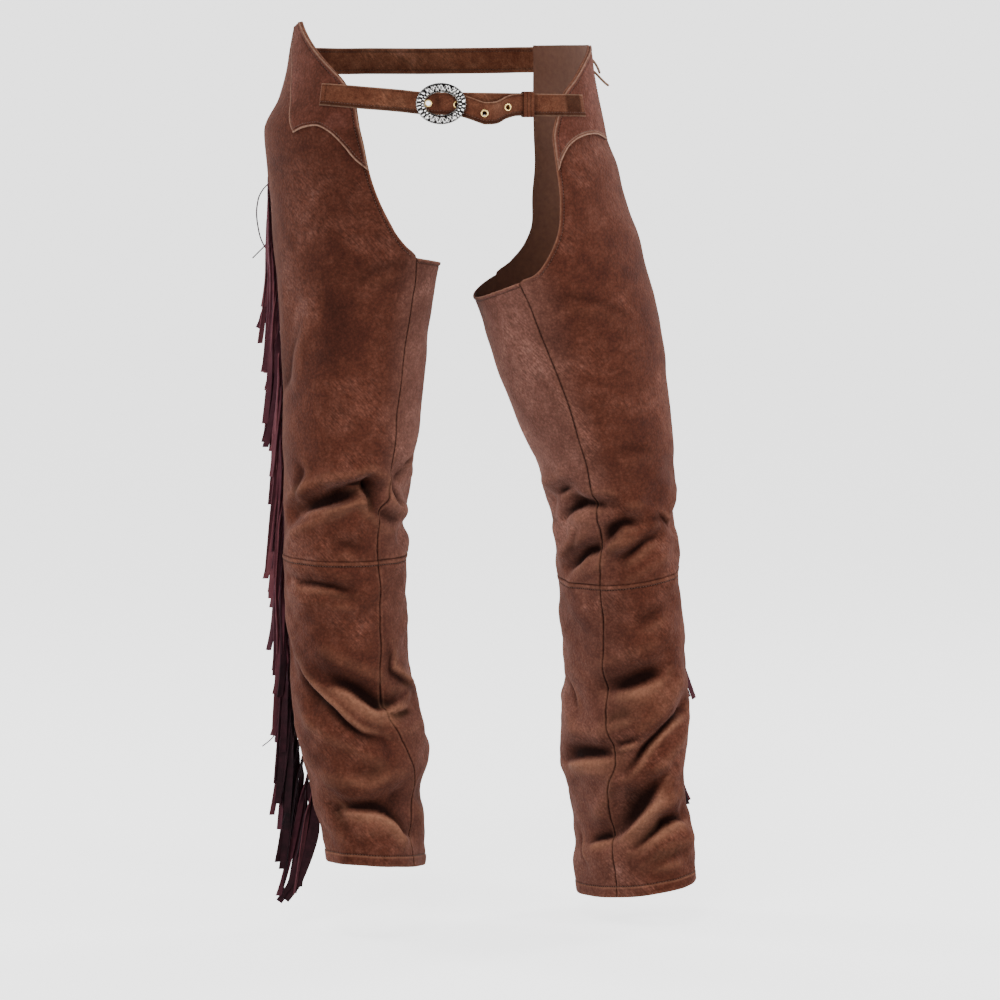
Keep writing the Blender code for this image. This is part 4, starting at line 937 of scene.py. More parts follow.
def creases(leg, angle, level):
    """How far fine creases push in, by the distance to each curve, how deep their shade is, and their pale swell.

    The section is half a wide bell on the shaded side and half a narrow bell on the crisp side, with a low ridge
    beyond. The depth rises and falls along the curve as a power of half a sine wave. The swell is the puffed
    leather beyond the crisp side, which the light and wear make paler.
    """
    shape = np.broadcast(angle, level).shape
    across = np.broadcast_to(np.radians(angle) * FOLD_ARC, shape).reshape(-1)
    up = np.broadcast_to(level, shape).reshape(-1)
    turn = 2 * np.pi * FOLD_ARC
    inwards, shade, swell = (np.zeros(across.shape) for _ in range(3))
    for wide, sharp, depth, points in CREASES[leg]:
        way = np.array(points, float)
        way[:, 0] = np.radians(way[:, 0]) * FOLD_ARC
        line, _ = path_curve(way, CREASE_STEPS + 1)
        centre = line.mean(0)
        reach = np.abs(line - centre).max(0) + 3 * wide
        offset = (across - centre[0] + turn / 2) % turn - turn / 2
        near = np.flatnonzero((np.abs(offset) < reach[0]) & (np.abs(up - centre[1]) < reach[1]))
        spot = np.stack([offset[near] + centre[0], up[near]], -1)
        start, run = line[:-1], np.diff(line, axis=0)
        reach_along = spot[:, None] - start[None]
        t = np.clip((reach_along * run).sum(-1) / (run**2).sum(-1), 0, 1)
        gap = np.linalg.norm(reach_along - t[..., None] * run, axis=-1)
        which = gap.argmin(1)
        rows = np.arange(len(near))
        share = (which + t[rows, which]) / CREASE_STEPS
        turned_left = run[which, 0] * reach_along[rows, which, 1] - run[which, 1] * reach_along[rows, which, 0]
        d = gap[rows, which] * np.sign(turned_left)
        trough = np.where(d > 0, bell(d, 0, wide), bell(d, 0, sharp))
        taper = np.sin(np.pi * np.clip(share, 0.03, 0.97)) ** 0.6
        inwards[near] += depth * taper * (trough - 0.5 * bell(d, -2.2 * sharp - 1, 1.4 * sharp + 0.8))
        narrow = np.where(d > 0, bell(d, 0, 1.05 * wide), bell(d, 0, 0.8 * sharp))
        shade[near] = np.maximum(shade[near], min(1, depth / 3.8) * taper**0.9 * narrow)
        puffed = ease(0.6 * sharp, 2 * sharp + 1, -d) * ease(1.5 * wide + 6, 3 + sharp, -d)
        swell[near] = np.maximum(swell[near], min(1, depth / 5) * taper * puffed)
    clear = off_outseam(leg, angle, level)
    return inwards.reshape(shape) * clear, shade.reshape(shape) * clear, swell.reshape(shape) * clear


def wave_height(leg, angle, level):
    """Low waves: sines of the angle and the level, which die out beside the outseam and towards the waist."""
    a = np.radians(angle) * SIDES[leg]
    height = sum(h * np.sin(turns * a + 2 * np.pi * level / long + phase) for turns, long, h, phase in WAVES)
    fade = between(1.0, 0.35, ease(-440, -380, level)) * ease(WAVE_TOP + 60, WAVE_TOP, level)
    return height * fade * off_outseam(leg, angle, level)


def spaced(length, low, high, step=STEP):
    """Shares of a length: the given distances from each end, and even steps between."""
    low = np.array(low, float)
    high = np.array(high, float)
    count = max(2, int((length - low[-1] - high[-1]) / step))
    middle = np.linspace(low[-1], length - high[-1], count)
    return np.concatenate([low[:-1], middle, length - high[-2::-1]]) / length


def tube_grid(leg, left, right, low, high, steps_up, steps_across):
    """Angles and levels of a panel between two lines and two cross planes; seams close to a third of their gap."""
    share_up = steps_up[:, None]
    share_across = steps_across[None, :]
    middle = between(PLANES[leg][low][0], PLANES[leg][high][0], share_up)
    first = line_angle(left, middle) + SEAM_HALF_GAP / 3
    last = line_angle(right, middle) - SEAM_HALF_GAP / 3
    angle = between(first, last, share_across)
    level = between(plane_level(leg, low, angle), plane_level(leg, high, angle), share_up)
    return angle, level


def hip_grid(leg, line, corner_top, steps_up, steps_across, inset):
    """Angles and levels above the crotch, from the outseam to an opening edge."""
    share_up = steps_up[:, None]
    share_across = steps_across[None, :]
    base = PLANES[leg]["crotch"][0]
    seam_top = TOPS[leg][1]
    edge = line_angle(line, between(base, corner_top, share_up))
    seam = line_angle(OUTSEAM_LINE[leg], between(base, seam_top, share_up)) + inset
    angle = between(seam, edge, share_across)
    level = between(base, between(seam_top, corner_top, share_across), share_up)
    return angle, level


def distance_to(points, edge):
    """The distance from each point to the nearest of an edge's points, after the edge is read every 0.8 mm."""
    run = np.concatenate([[0], np.cumsum(np.linalg.norm(np.diff(edge, axis=0), axis=1))])
    even = np.linspace(0, run[-1], int(run[-1] / 0.8) + 2)
    fine = np.stack([np.interp(even, run, edge[:, k]) for k in range(3)], -1)
    flat = points.reshape(-1, 3)
    found = []
    for part in np.array_split(flat, max(1, len(flat) // 1500)):
        square = (part**2).sum(1)[:, None] + (fine**2).sum(1)[None] - 2 * part @ fine.T
        found.append(np.sqrt(np.maximum(square.min(1), 0)))
    return np.concatenate(found).reshape(points.shape[:-1])


def seam_relief(d):
    """A sewn seam: the leather turns in at the join, with a low swell beside it; painted shade in the join, the swell a
    little paler.
    """
    return -0.6 * bell(d, 0, 0.6) + 0.35 * bell(d, 2.6, 1.4), 0.95 * bell(d, 0, 0.8), 0.12 * bell(d, 2.4, 0.9)


def turned_relief(d):
    """An open edge turned under and stitched: a raised lip, then the stitching's groove, painted dark as shade; the
    edge is paler.
    """
    rise = 0.7 * ease(4.0, 3.2, d) - 0.8 * bell(d, 0, 0.7) - 0.6 * bell(d, 4.6, 0.7)
    return rise, 0.7 * bell(d, 4.6, 0.6), 0.65 * bell(d, 0.2, 1.0)


def band_relief(d):
    """The top-stitched band under the knee seam: a raised strip between two grooves, which are painted dark as shade;
    the strip is a little paler.
    """
    rise = 0.7 * ease(0.5, 1.2, d) * ease(5.3, 4.8, d) - 0.7 * bell(d, 0, 0.7) - 0.7 * bell(d, 5.6, 0.7)
    return rise, np.maximum(0.8 * bell(d, 0, 0.9), 0.9 * bell(d, 5.7, 0.75)), 0.16 * bell(d, 2.9, 1.9)


def hem_relief(d):
    """The hem: doubled leather below one line of stitching, whose groove is painted dark as shade; both edges are
    paler.
    """
    rise = 0.7 * ease(12.4, 11.6, d) - 0.8 * bell(d, 0, 0.8) - 0.6 * bell(d, 12.7, 0.8)
    return rise, 0.8 * bell(d, 12.7, 0.8), np.maximum(0.35 * bell(d, 0.4, 1.0), 0.35 * bell(d, 11.2, 0.9))


def cut_relief(d):
    """A cut edge: the corner rounded down and worn pale."""
    return -0.5 * bell(d, 0, 0.7), 0 * d, 0.5 * bell(d, 0, 1.2)


def panel(name, leg, angle, level, edges, suede, flesh, slot, base=0.0, thick=2.0):
    """A leather panel: the creased surface with each edge's relief, and a wall of its thickness behind it.

    edges maps left, right, low and high to a list of (relief, share of it along the edge).
    """
    plain = ring_point(leg, angle, level)
    normal = outward(leg, angle, level)
    sides = {"left": plain[:, 0], "right": plain[:, -1], "low": plain[0], "high": plain[-1]}
    rise, dark, worn = (np.zeros(angle.shape) for _ in range(3))
    from_edge = {}
    for side, edge in sides.items():
        from_edge[side] = distance_to(plain, edge)
        for relief, share in edges[side]:
            up, down, pale = relief(from_edge[side])
            rise += up * share
            dark = np.maximum(dark, down * share)
            worn = np.maximum(worn, pale * share)
    fold = fold_depth(leg, angle, level)
    crease, shade, swell = creases(leg, angle, level)
    sunk = fold + crease
    push = base - sunk + wave_height(leg, angle, level)
    outer = plain + normal * (push + thick + rise)[..., None]
    inner = plain + normal * push[..., None]
    # Painted shade: the creases' shade, the bottoms of deep folds and, on the right leg, the upper thigh, on top of the
    # edges' painted shade.
    hip_dark = 0.2 * ease(-340, -170, level) if leg == "R" else 0.0
    dark = np.clip(dark + shade * HOLLOW_DARK + ease(3.0, 12.0, sunk) * 0.4 + hip_dark, 0, 1)
    # Wear and painted highlight: ridges and the swells beside crisp creases are painted pale, the swells more on the
    # shins.
    ridge_pale = between(RIDGE_PALE, RIDGE_PALE_LOW, ease(-480.0, -700.0, level))
    ridges = ease(0.15, 1.8, -crease) * 0.12 + swell * ridge_pale + ease(0.5, 3, -fold) * 0.15
    worn = np.clip(worn + ridges, 0, 1)
    # Painted light: the sides of the legs that face each other are painted paler, less so below the knee.
    inward = normal[..., 0] * (1 if leg == "R" else -1)
    rubbed = ease(0.2, 0.85, inward) * between(1.0, 0.3, ease(-400.0, -560.0, level))
    faces, on_inner = shell_faces(*angle.shape)
    blank = np.zeros(angle.size)
    item = make_piece(
        f"suede_{name}_{leg}",
        np.concatenate([outer.reshape(-1, 3), inner.reshape(-1, 3)]),
        faces,
        (suede, flesh),
        slot,
        (f"{name}_{leg}",),
        inside=on_inner,
        hollow=np.concatenate([dark.reshape(-1), blank]),
        worn=np.concatenate([worn.reshape(-1), blank]),
        rubbed=np.concatenate([rubbed.reshape(-1), blank]),
    )
    return item, outer, unit(outer - inner), from_edge


def flat_size(outer):
    """Width, length and area of a panel's cut, in metres, from its own grid."""
    across = np.linalg.norm(np.diff(outer, axis=1), axis=2).sum(1).max()
    up = np.linalg.norm(np.diff(outer, axis=0), axis=2).sum(0).max()
    cell = np.cross(outer[1:, 1:] - outer[:-1, :-1], outer[1:, :-1] - outer[:-1, 1:])
    area = np.linalg.norm(cell, axis=2).sum() / 2
    return across * MM, up * MM, area * MM * MM


def inset_line(outer, normal, gap, side, depth):
    """The line on a panel at a depth from one of its edges: where each row or column first reaches it."""
    if side in ("low", "high"):
        outer, normal, gap = (np.swapaxes(x, 0, 1) for x in (outer, normal, gap))
    if side in ("right", "high"):
        outer, normal, gap = outer[:, ::-1], normal[:, ::-1], gap[:, ::-1]
    after = np.clip((gap >= depth).argmax(1), 1, None)
    rows = np.arange(len(gap))
    a, b = gap[rows, after - 1], gap[rows, after]
    share = ((depth - a) / np.maximum(b - a, 1e-6))[:, None]
    spot = between(outer[rows, after - 1], outer[rows, after], share)
    return spot, unit(between(normal[rows, after - 1], normal[rows, after], share))


# One stitch: along, across and out, in millimetres. Two tips sink in, and two rings of four make its body.
STITCH = np.array(
    [
        (-0.5, 0, -0.5),
        (-0.28, -0.5, 0.1), (-0.28, 0, 0.75), (-0.28, 0.5, 0.1), (-0.28, 0, -0.5),
        (0.28, -0.5, 0.1), (0.28, 0, 0.75), (0.28, 0.5, 0.1), (0.28, 0, -0.5),
        (0.5, 0, -0.5),
    ]
)
STITCH_SIDES = [(1, 2, 6, 5), (2, 3, 7, 6), (3, 4, 8, 7), (4, 1, 5, 8)]
STITCH_TIPS = [(0, 2, 1), (0, 3, 2), (0, 4, 3), (0, 1, 4), (9, 5, 6), (9, 6, 7), (9, 7, 8), (9, 8, 5)]


def read_along(run, at, rows):
    """The rows read at distances along a line, whose own rows lie at the distances run."""
    return np.stack([np.interp(at, run, rows[:, k]) for k in range(3)], -1)


def stitches(name, lines, thread, pitch=3.3, long=2.5, wide=0.75):
    """Threads along lines of (points, normals): one small closed form repeated at an even pitch."""
    spots, ways, outs = [], [], []
    for points, normals in lines:
        run = np.concatenate([[0], np.cumsum(np.linalg.norm(np.diff(points, axis=0), axis=1))])
        count = int(run[-1] / pitch)
        if count < 2:
            continue
        at = (np.arange(count) + 0.5) * run[-1] / count
        spots.append(read_along(run, at, points))
        ways.append(unit(read_along(run, at + 0.4, points) - read_along(run, at - 0.4, points)))
        outs.append(unit(read_along(run, at, normals)))
    spots, ways, outs = (np.concatenate(x) for x in (spots, ways, outs))
    sides = unit(np.cross(ways, outs))
    shape = STITCH * (long, wide, wide)
    body = spots[:, None] + ways[:, None] * shape[None, :, :1] + sides[:, None] * shape[None, :, 1:2]
    body = body + outs[:, None] * shape[None, :, 2:]
    step = len(STITCH) * np.arange(len(spots))[:, None, None]
    sides_of = (np.array(STITCH_SIDES)[None] + step).reshape(-1, 4).tolist()
    tips_of = (np.array(STITCH_TIPS)[None] + step).reshape(-1, 3).tolist()
    mesh = bpy.data.meshes.new(name)
    mesh.from_pydata((body.reshape(-1, 3) * MM).tolist(), [], sides_of + tips_of)
    mesh.materials.append(thread)
    mesh.shade_smooth()
    item = bpy.data.objects.new(name, mesh)
    bpy.context.scene.collection.objects.link(item)
    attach(item, "root")
    return item


def turned(name, centre, direction, profile, sides, finish, slot, replaced=(), squash=(1, 1)):
    """A closed ring: a profile of (radius, height) turned about a direction through the centre."""
    axis = np.array(Vector(direction).normalized())
    turn = np.array(Vector((0, 0, 1)).rotation_difference(Vector(axis)).to_matrix())
    a = np.linspace(0, 2 * np.pi, sides, endpoint=False)[:, None]
    radius, height = np.array(profile, float).T
    flat = np.stack(
        [radius * np.cos(a) * squash[0], radius * np.sin(a) * squash[1], height + 0 * a], -1
    )
    points = flat @ turn.T + np.array(centre)
    number = np.arange(sides * len(profile)).reshape(sides, -1)
    down = np.roll(number, -1, axis=0)
    faces = np.stack([number, down, np.roll(down, -1, axis=1), np.roll(number, -1, axis=1)], -1).reshape(-1, 4)
    return make_piece(name, points, faces, (finish,), slot, replaced, sharp=60)


def tube_points(path, radius, around):
    """Stations of a round tube along a path, with rounded ends, its rings kept square to the path."""
    run = unit(np.gradient(path, axis=0))
    side = unit(np.cross(run, np.where(np.abs(run[:, 2:]) > 0.9, [[1.0, 0, 0]], [[0, 0, 1.0]])))
    for k in range(1, len(side)):
        side[k] = unit(side[k - 1] - run[k] * (side[k - 1] @ run[k]))
    up = np.cross(run, side)
    a = np.linspace(0, 2 * np.pi, around, endpoint=False)[None, :, None]
    width = np.full(len(path), float(radius))
    width[0] = width[-1] = radius * 0.55
    return path[:, None] + (side[:, None] * np.cos(a) + up[:, None] * np.sin(a)) * width[:, None, None]


def tube(name, path, radius, around, finish, replaced=()):
    """A closed round tube along a path in millimetres."""
    points = tube_points(path, radius, around)
    stations = len(path)
    faces = swept_faces(stations, around)
    body = np.concatenate([points.reshape(-1, 3), path[:1], path[-1:]])
    first, last = stations * around, stations * around + 1
    ring = np.arange(around)
    after = np.roll(ring, -1)
    start = np.stack([after, ring, np.full(around, first), np.full(around, first)], -1)
    end = np.stack([ring, after, np.full(around, last), np.full(around, last)], -1)
    end[:, :2] += (stations - 1) * around
    caps = np.concatenate([start, end])[:, :3].tolist()
    if signed_volume(body, faces) < 0:
        faces = faces[:, ::-1]
        caps = [face[::-1] for face in caps]
    mesh = bpy.data.meshes.new(name)
    mesh.from_pydata((body * MM).tolist(), [], faces.tolist() + caps)
    mesh.materials.append(finish)
    mesh.shade_smooth()
    item = bpy.data.objects.new(name, mesh)
    bpy.context.scene.collection.objects.link(item)
    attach(item, "root")
    if replaced:
        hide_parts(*replaced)
    return item


def strap_sheet(
    name, path, high, thickness, finish, slot, replaced, relief, grooves=(), shade=None, trim=None, side=1.0
):
    """A strap along a path of (middle, way up its face): a closed wall with soft edges and stitched grooves, with
    painted shade in the grooves and where shade gives it.
    """
    middle = path[:, :3]
    up = unit(path[:, 3:])
    face = unit(np.cross(np.gradient(middle, axis=0), up)) * side
    near = np.array((0, 0.35, 0.8, 1.4, 2.2, 3.0, 3.8, 4.6))
    across = np.concatenate([near, np.linspace(6, high - 6, 6), high - near[::-1]])
    along = np.concatenate([[0], np.cumsum(np.linalg.norm(np.diff(middle, axis=0), axis=1))])
    from_low, from_high = across[None, :], high - across[None, :]
    from_end = np.minimum(along, along[-1] - along)[:, None]
    d = np.minimum(np.minimum(from_low, from_high), from_end)
    rise, dark, worn = relief(d)
    for line_dark, line in grooves:
        rise = rise - 0.35 * bell(line(along[:, None], across[None, :]), 0, 0.7)
        dark = np.maximum(dark, line_dark * bell(line(along[:, None], across[None, :]), 0, 0.8))
    if shade:
        dark = np.maximum(dark, shade(along[:, None], across[None, :]))
    spot = middle[:, None] + up[:, None] * (across - high / 2)[None, :, None]
    if trim:
        cut = between(trim[0], trim[1], across / high)[None, :] * np.clip(1 - along / 30, 0, 1)[:, None]
        spot = spot + unit(np.gradient(middle, axis=0))[:, None] * cut[..., None]
    outer = spot + face[:, None] * (thickness / 2 + np.broadcast_to(rise, (len(path), len(across))))[..., None]
    inner = spot - face[:, None] * thickness / 2
    faces, _ = shell_faces(*outer.shape[:2])
    blank = np.zeros(outer.shape[0] * outer.shape[1])
    item = make_piece(
        name,
        np.concatenate([outer.reshape(-1, 3), inner.reshape(-1, 3)]),
        faces,
        (finish,),
        slot,
        replaced,
        hollow=np.concatenate([np.broadcast_to(dark, outer.shape[:2]).reshape(-1), blank]),
        worn=np.concatenate([np.broadcast_to(worn, outer.shape[:2]).reshape(-1), blank]),
    )
    return item, outer, np.broadcast_to(face[:, None], outer.shape)


def strap_line(outer, normal, across_low, high):
    """A line along a strap at a height above its lower edge."""
    share = across_low / high
    up = outer[:, -1] - outer[:, 0]
    return outer[:, 0] + up * share + normal[:, 0] * 0.1, normal[:, 0]


def belt_relief(d):
    """The edge of a strap: rounded down, with a low bevel and a faint line beside it painted dark as shade; the edge is
    painted pale, worn and with a painted highlight.
    """
    rise = -0.7 * bell(d, 0, 0.5) + 0.12 * ease(2.4, 1.6, d)
    return rise, 0.15 * bell(d, 2.9, 0.6), 0.4 * bell(d, 0.2, 0.8)


# Camera

camera_data = bpy.data.cameras.new("front_camera")
camera_data.lens = 126.04
camera_data.sensor_width = 36
camera = bpy.data.objects.new("front_camera", camera_data)
camera.location = (-0.97085, -3.88097, 0)
camera.rotation_euler = (np.radians(90 - 6.56), 0, np.radians(-15))
bpy.context.scene.collection.objects.link(camera)
bpy.context.scene.camera = camera

# Finishes

# Leg suede: split hide brushed to a nap, matt brown and mottled. Painted: shade in creases and seams, highlights on
# ridges, light on the inner sides.
SUEDE = leather_finish(
    "brown_suede_napped",
    ((0.3, "401f17"), (0.42, "4e271d"), (0.5, "5b3023"), (0.6, "6c3f32"), (0.72, "84574b")),
    "0e0302",
    "a8745a",
    rubbed=((0.3, "6a443a"), (0.42, "784e43"), (0.5, "865a4e"), (0.6, "98695c"), (0.72, "ac7e70")),
)
# Hip patch suede: the same hide from a slightly warmer, paler lot.
YOKE_SUEDE = leather_finish(
    "brown_suede_yoke",
    ((0.3, "482418"), (0.42, "562d21"), (0.5, "63362a"), (0.6, "734439"), (0.72, "87584d")),
    "140605",
    "b48c76",
)
# Belt: oiled strap leather with a fine grain, a little smoother and warmer than the suede.
BELT = leather_finish(
    "brown_belt_leather",
    ((0.3, "462417"), (0.42, "5c3222"), (0.5, "6c402d"), (0.6, "7e513c"), (0.72, "926452")),
    "1a0a06",
    "c09a80",
    grain=620.0,
    bump=0.0003,
    sheen=0.25,
)
# The hide's flesh side, seen inside the legs: plain, rough and without shine, painted a darker brown than a tan flesh
# side, as shade.
FLESH = plain_finish("suede_flesh_side", "4e2c1e", 0.95, second="6e4530", scale=170.0, bump=0.0004)
# Fringe: thin suede cut into strands, dyed dark, each a slightly other tone.
STRANDS = strand_finish()
# Waxed thread, darker than the suede, which marks the seams as a fine line.
THREAD = plain_finish("waxed_brown_thread", "3c2116", 0.6, second="5a3828", scale=1200.0)
# Round-cut thong of tanned hide, paler than the rest.
THONG = plain_finish("thong_leather_round", "8a6547", 0.7, second="6a4830", scale=420.0, bump=0.0003)
# Eyelets of rolled sheet brass with a soft shine.
BRASS = plain_finish("eyelet_brass_rolled", "d9c08a", 0.3, 1.0, second="b8984e", scale=700.0)
# Buckle: cast white metal, blackened in the recesses and polished on the relief.
SILVER = silver_finish()

# Cords: the two free ends of the lace

knot = leg_surface("L", np.array(float(LACE_KNOT[0])), np.array(float(LACE_KNOT[1])), LACE_KNOT[2])
for name, steps in (("lace_end_low", LACE_END_LOW), ("lace_end_short", LACE_END_SHORT)):
    aim = unit(np.array(steps[1], float))
    reach = 1 / np.linalg.norm(aim / np.array(KNOT_RADII))
    route = knot + aim * (reach + CLOSE_GAP) + np.array(steps, float)
    fine_route, route_length = path_curve(route, 40)
    item = tube(f"thong_{name}", fine_route, LACE_THICK / 2, 12, THONG, (name,))

# Legs

def declare(outer):
    """Works out the width, length and area of a leather piece's flat cut from its own grid, and keeps none of them."""
    width, length, area = flat_size(outer)
    area = min(area, width * length)


stitch_lines = {"suede": [], "yoke": [], "belt": []}
whole = np.ones(1)
for leg in SIDES:
    front, back, outseam = FRONT_LINE[leg], BACK_LINE[leg], OUTSEAM_LINE[leg]
    corner_top, _, back_top = TOPS[leg]
    knee, crotch, hem = (PLANES[leg][name][0] for name in ("knee", "crotch", "hem"))
    fine_rows = np.arange(NEAR_SEAM[-1], 140, 2.2)
    coarse_rows = np.linspace(140, crotch - knee, 56)
    rise_front = np.concatenate([NEAR_SEAM[:-1], fine_rows, coarse_rows]) / (crotch - knee)
    rise_back = spaced(crotch - knee, NEAR_SEAM, PLAIN_END)

    for name, line, top in (("thigh_front", front, corner_top), ("thigh_back", back, back_top)):
        is_front = name == "thigh_front"
        rise_high = spaced(top - crotch, PLAIN_END, NEAR_CUT)[1:]
        columns = spaced(190, NEAR_SEAM, NEAR_TURNED, FINE_STEP) if is_front else spaced(130, NEAR_SEAM, NEAR_TURNED)
        rise_low = rise_front if is_front else rise_back
        if is_front:
            low_angle, low_level = tube_grid(leg, line, outseam, "knee", "crotch", rise_low, 1 - columns)
        else:
            low_angle, low_level = tube_grid(leg, outseam, line, "knee", "crotch", rise_low, columns)
        inset = (-SEAM_HALF_GAP if is_front else SEAM_HALF_GAP) / 10
        high_angle, high_level = hip_grid(leg, line, top, rise_high, columns, inset)
        angle = np.concatenate([low_angle, high_angle])
        level = np.concatenate([low_level, high_level])
        open_share = ease(crotch - 4, crotch + 8, level[:, -1])[:, None]
        edges = {
            "left": [(seam_relief, whole)],
            "right": [(seam_relief, 1 - open_share), (turned_relief, open_share)],
            "low": [(seam_relief, 0.45 * whole)],
            "high": [(cut_relief, whole)],
        }
        item, outer, normal, gaps = panel(name, leg, angle, level, edges, SUEDE, FLESH, "brown_suede")
        declare(outer)
        is_open = level[:, -1] > crotch + 3
        spot, out = inset_line(outer, normal, gaps["right"], "right", 4.5)
        stitch_lines["suede"].append((spot[is_open], out[is_open]))

    columns = spaced(110, NEAR_SEAM, NEAR_SEAM, FINE_STEP)
    coarse_rows = np.linspace(140, crotch - knee - NEAR_TURNED[-1], 54)
    top_rows = crotch - knee - np.array(NEAR_TURNED[-2::-1])
    rise_all = np.concatenate([NEAR_SEAM[:-1], fine_rows, coarse_rows, top_rows]) / (crotch - knee)
    angle, level = tube_grid(leg, back, turned_back(front), "knee", "crotch", rise_all, columns)
    level = level - INSIDE_DIP[leg] * np.sin(np.pi * columns)[None, :] * rise_all[:, None] ** 4
    edges = {side: [(seam_relief, whole)] for side in ("left", "right", "low")}
    edges["high"] = [(turned_relief, whole)]
    item, outer, normal, gaps = panel("thigh_inner", leg, angle, level, edges, SUEDE, FLESH, "brown_suede")
    declare(outer)
    stitch_lines["suede"].append(inset_line(outer, normal, gaps["high"], "high", 4.5))

    shin_fine = spaced(knee - hem, NEAR_HEM, NEAR_BAND, 2.3)
    shin_plain = spaced(knee - hem, NEAR_HEM, NEAR_BAND)
    for name, left, right, wide in (
        ("shin_front", front, outseam, 195),
        ("shin_back", outseam, back, 140),
        ("shin_inner", back, turned_back(front), 115),
    ):
        is_back = name == "shin_back"
        columns = spaced(wide, NEAR_SEAM, NEAR_SEAM, STEP if is_back else FINE_STEP)
        angle, level = tube_grid(leg, left, right, "hem", "knee", shin_plain if is_back else shin_fine, columns)
        edges = {"left": [(seam_relief, whole)], "right": [(seam_relief, whole)]}
        edges["low"] = [(hem_relief, whole)]
        edges["high"] = [(band_relief, whole)]
        item, outer, normal, gaps = panel(name, leg, angle, level, edges, SUEDE, FLESH, "brown_suede")
        declare(outer)
        stitch_lines["suede"].append(inset_line(outer, normal, gaps["high"], "high", 5.7))
        stitch_lines["suede"].append(inset_line(outer, normal, gaps["low"], "low", 12.7))

# Yokes

def yoke_grid(leg, steps_up, steps_across):
    """Angles and levels of the hip patch, from its outer edge to the front opening edge."""
    share_up = steps_up[:, None]
    share_in = steps_across[None, :]
    lower = np.array(YOKE_LOWER[leg], float)
    outer = np.array(YOKE_OUTER[leg], float)
    front_level = between(lower[0, 1] + 1.0, TOPS[leg][0] - 1.0, share_up)
    outer_level = between(outer[0, 0], outer[-1, 0], share_up)
    front_angle = line_angle(FRONT_LINE[leg], front_level) + 0.4
    outer_angle = smooth_through(outer[:, 0], outer[:, 1], outer_level)
    angle = between(outer_angle, front_angle, share_in)
    straight = between(outer_level, front_level, share_in)
    bottom = between(lower[-1, 0], lower[0, 0], share_in)
    bend = smooth_through(lower[:, 0], lower[:, 1], bottom) - between(lower[-1, 1], lower[0, 1], share_in)
    return angle, straight + bend * (1 - share_up) ** 1.5


def yoke_relief(d):
    """The hip patch's edge: a raised pale lip, then the groove of its stitching, painted dark as shade."""
    rise = 0.4 * ease(2.2, 1.4, d) - 0.7 * bell(d, 0, 0.5) - 0.4 * bell(d, 2.6, 0.6)
    return rise, 0.6 * bell(d, 2.5, 0.5), 0.95 * bell(d, 0.7, 0.9)


def rolled_relief(d):
    """A thicker rolled edge: two pale lips with a line between them painted dark as shade."""
    rise = 0.7 * bell(d, 0.9, 1.0) + 0.4 * bell(d, 3.4, 0.9) - 0.4 * bell(d, 2.2, 0.5)
    return rise, 0.5 * bell(d, 2.3, 0.45), np.maximum(0.9 * bell(d, 0.8, 1.0), 0.5 * bell(d, 3.3, 0.7))


for leg in SIDES:
    rows = spaced(140, NEAR_CUT, NEAR_CUT, 2.4)
    columns = spaced(62, NEAR_CUT, NEAR_TURNED, 2.0)
    angle, level = yoke_grid(leg, rows, columns)
    edges = {
        "left": [(yoke_relief, 0.6 * whole)],
        "right": [(turned_relief, whole)],
        "low": [(yoke_relief if leg == "R" else rolled_relief, whole)],
        "high": [(cut_relief, whole)],
    }
    base = LEG_WALL + YOKE_GAP
    item, outer, normal, gaps = panel("yoke", leg, angle, level, edges, YOKE_SUEDE, FLESH, "yoke_suede", base, YOKE_WALL)
    declare(outer)
    for side, depth in (("left", 3.5), ("right", 4.5), ("low", 4.2)):
        stitch_lines["yoke"].append(inset_line(outer, normal, gaps[side], side, depth))

# Belt straps, with their holes and eyelets

lift = LEG_WALL + YOKE_GAP + YOKE_WALL + LAP_GAP + STRAP_WALL / 2
rows = on_leg_strap("R", STRAP_R_ON_YOKE, STRAP_HIGH, lift)
rows += upright(belt_place(*row) for row in STRAP_R_FREE)
coarse, _ = path_curve(rows, STRAP_STEPS)
path_r, length_r = path_curve(coarse, 190)
at_buckle = np.argmin(np.abs(path_r[:, 0] - BUCKLE_X)) / (len(path_r) - 1) * length_r
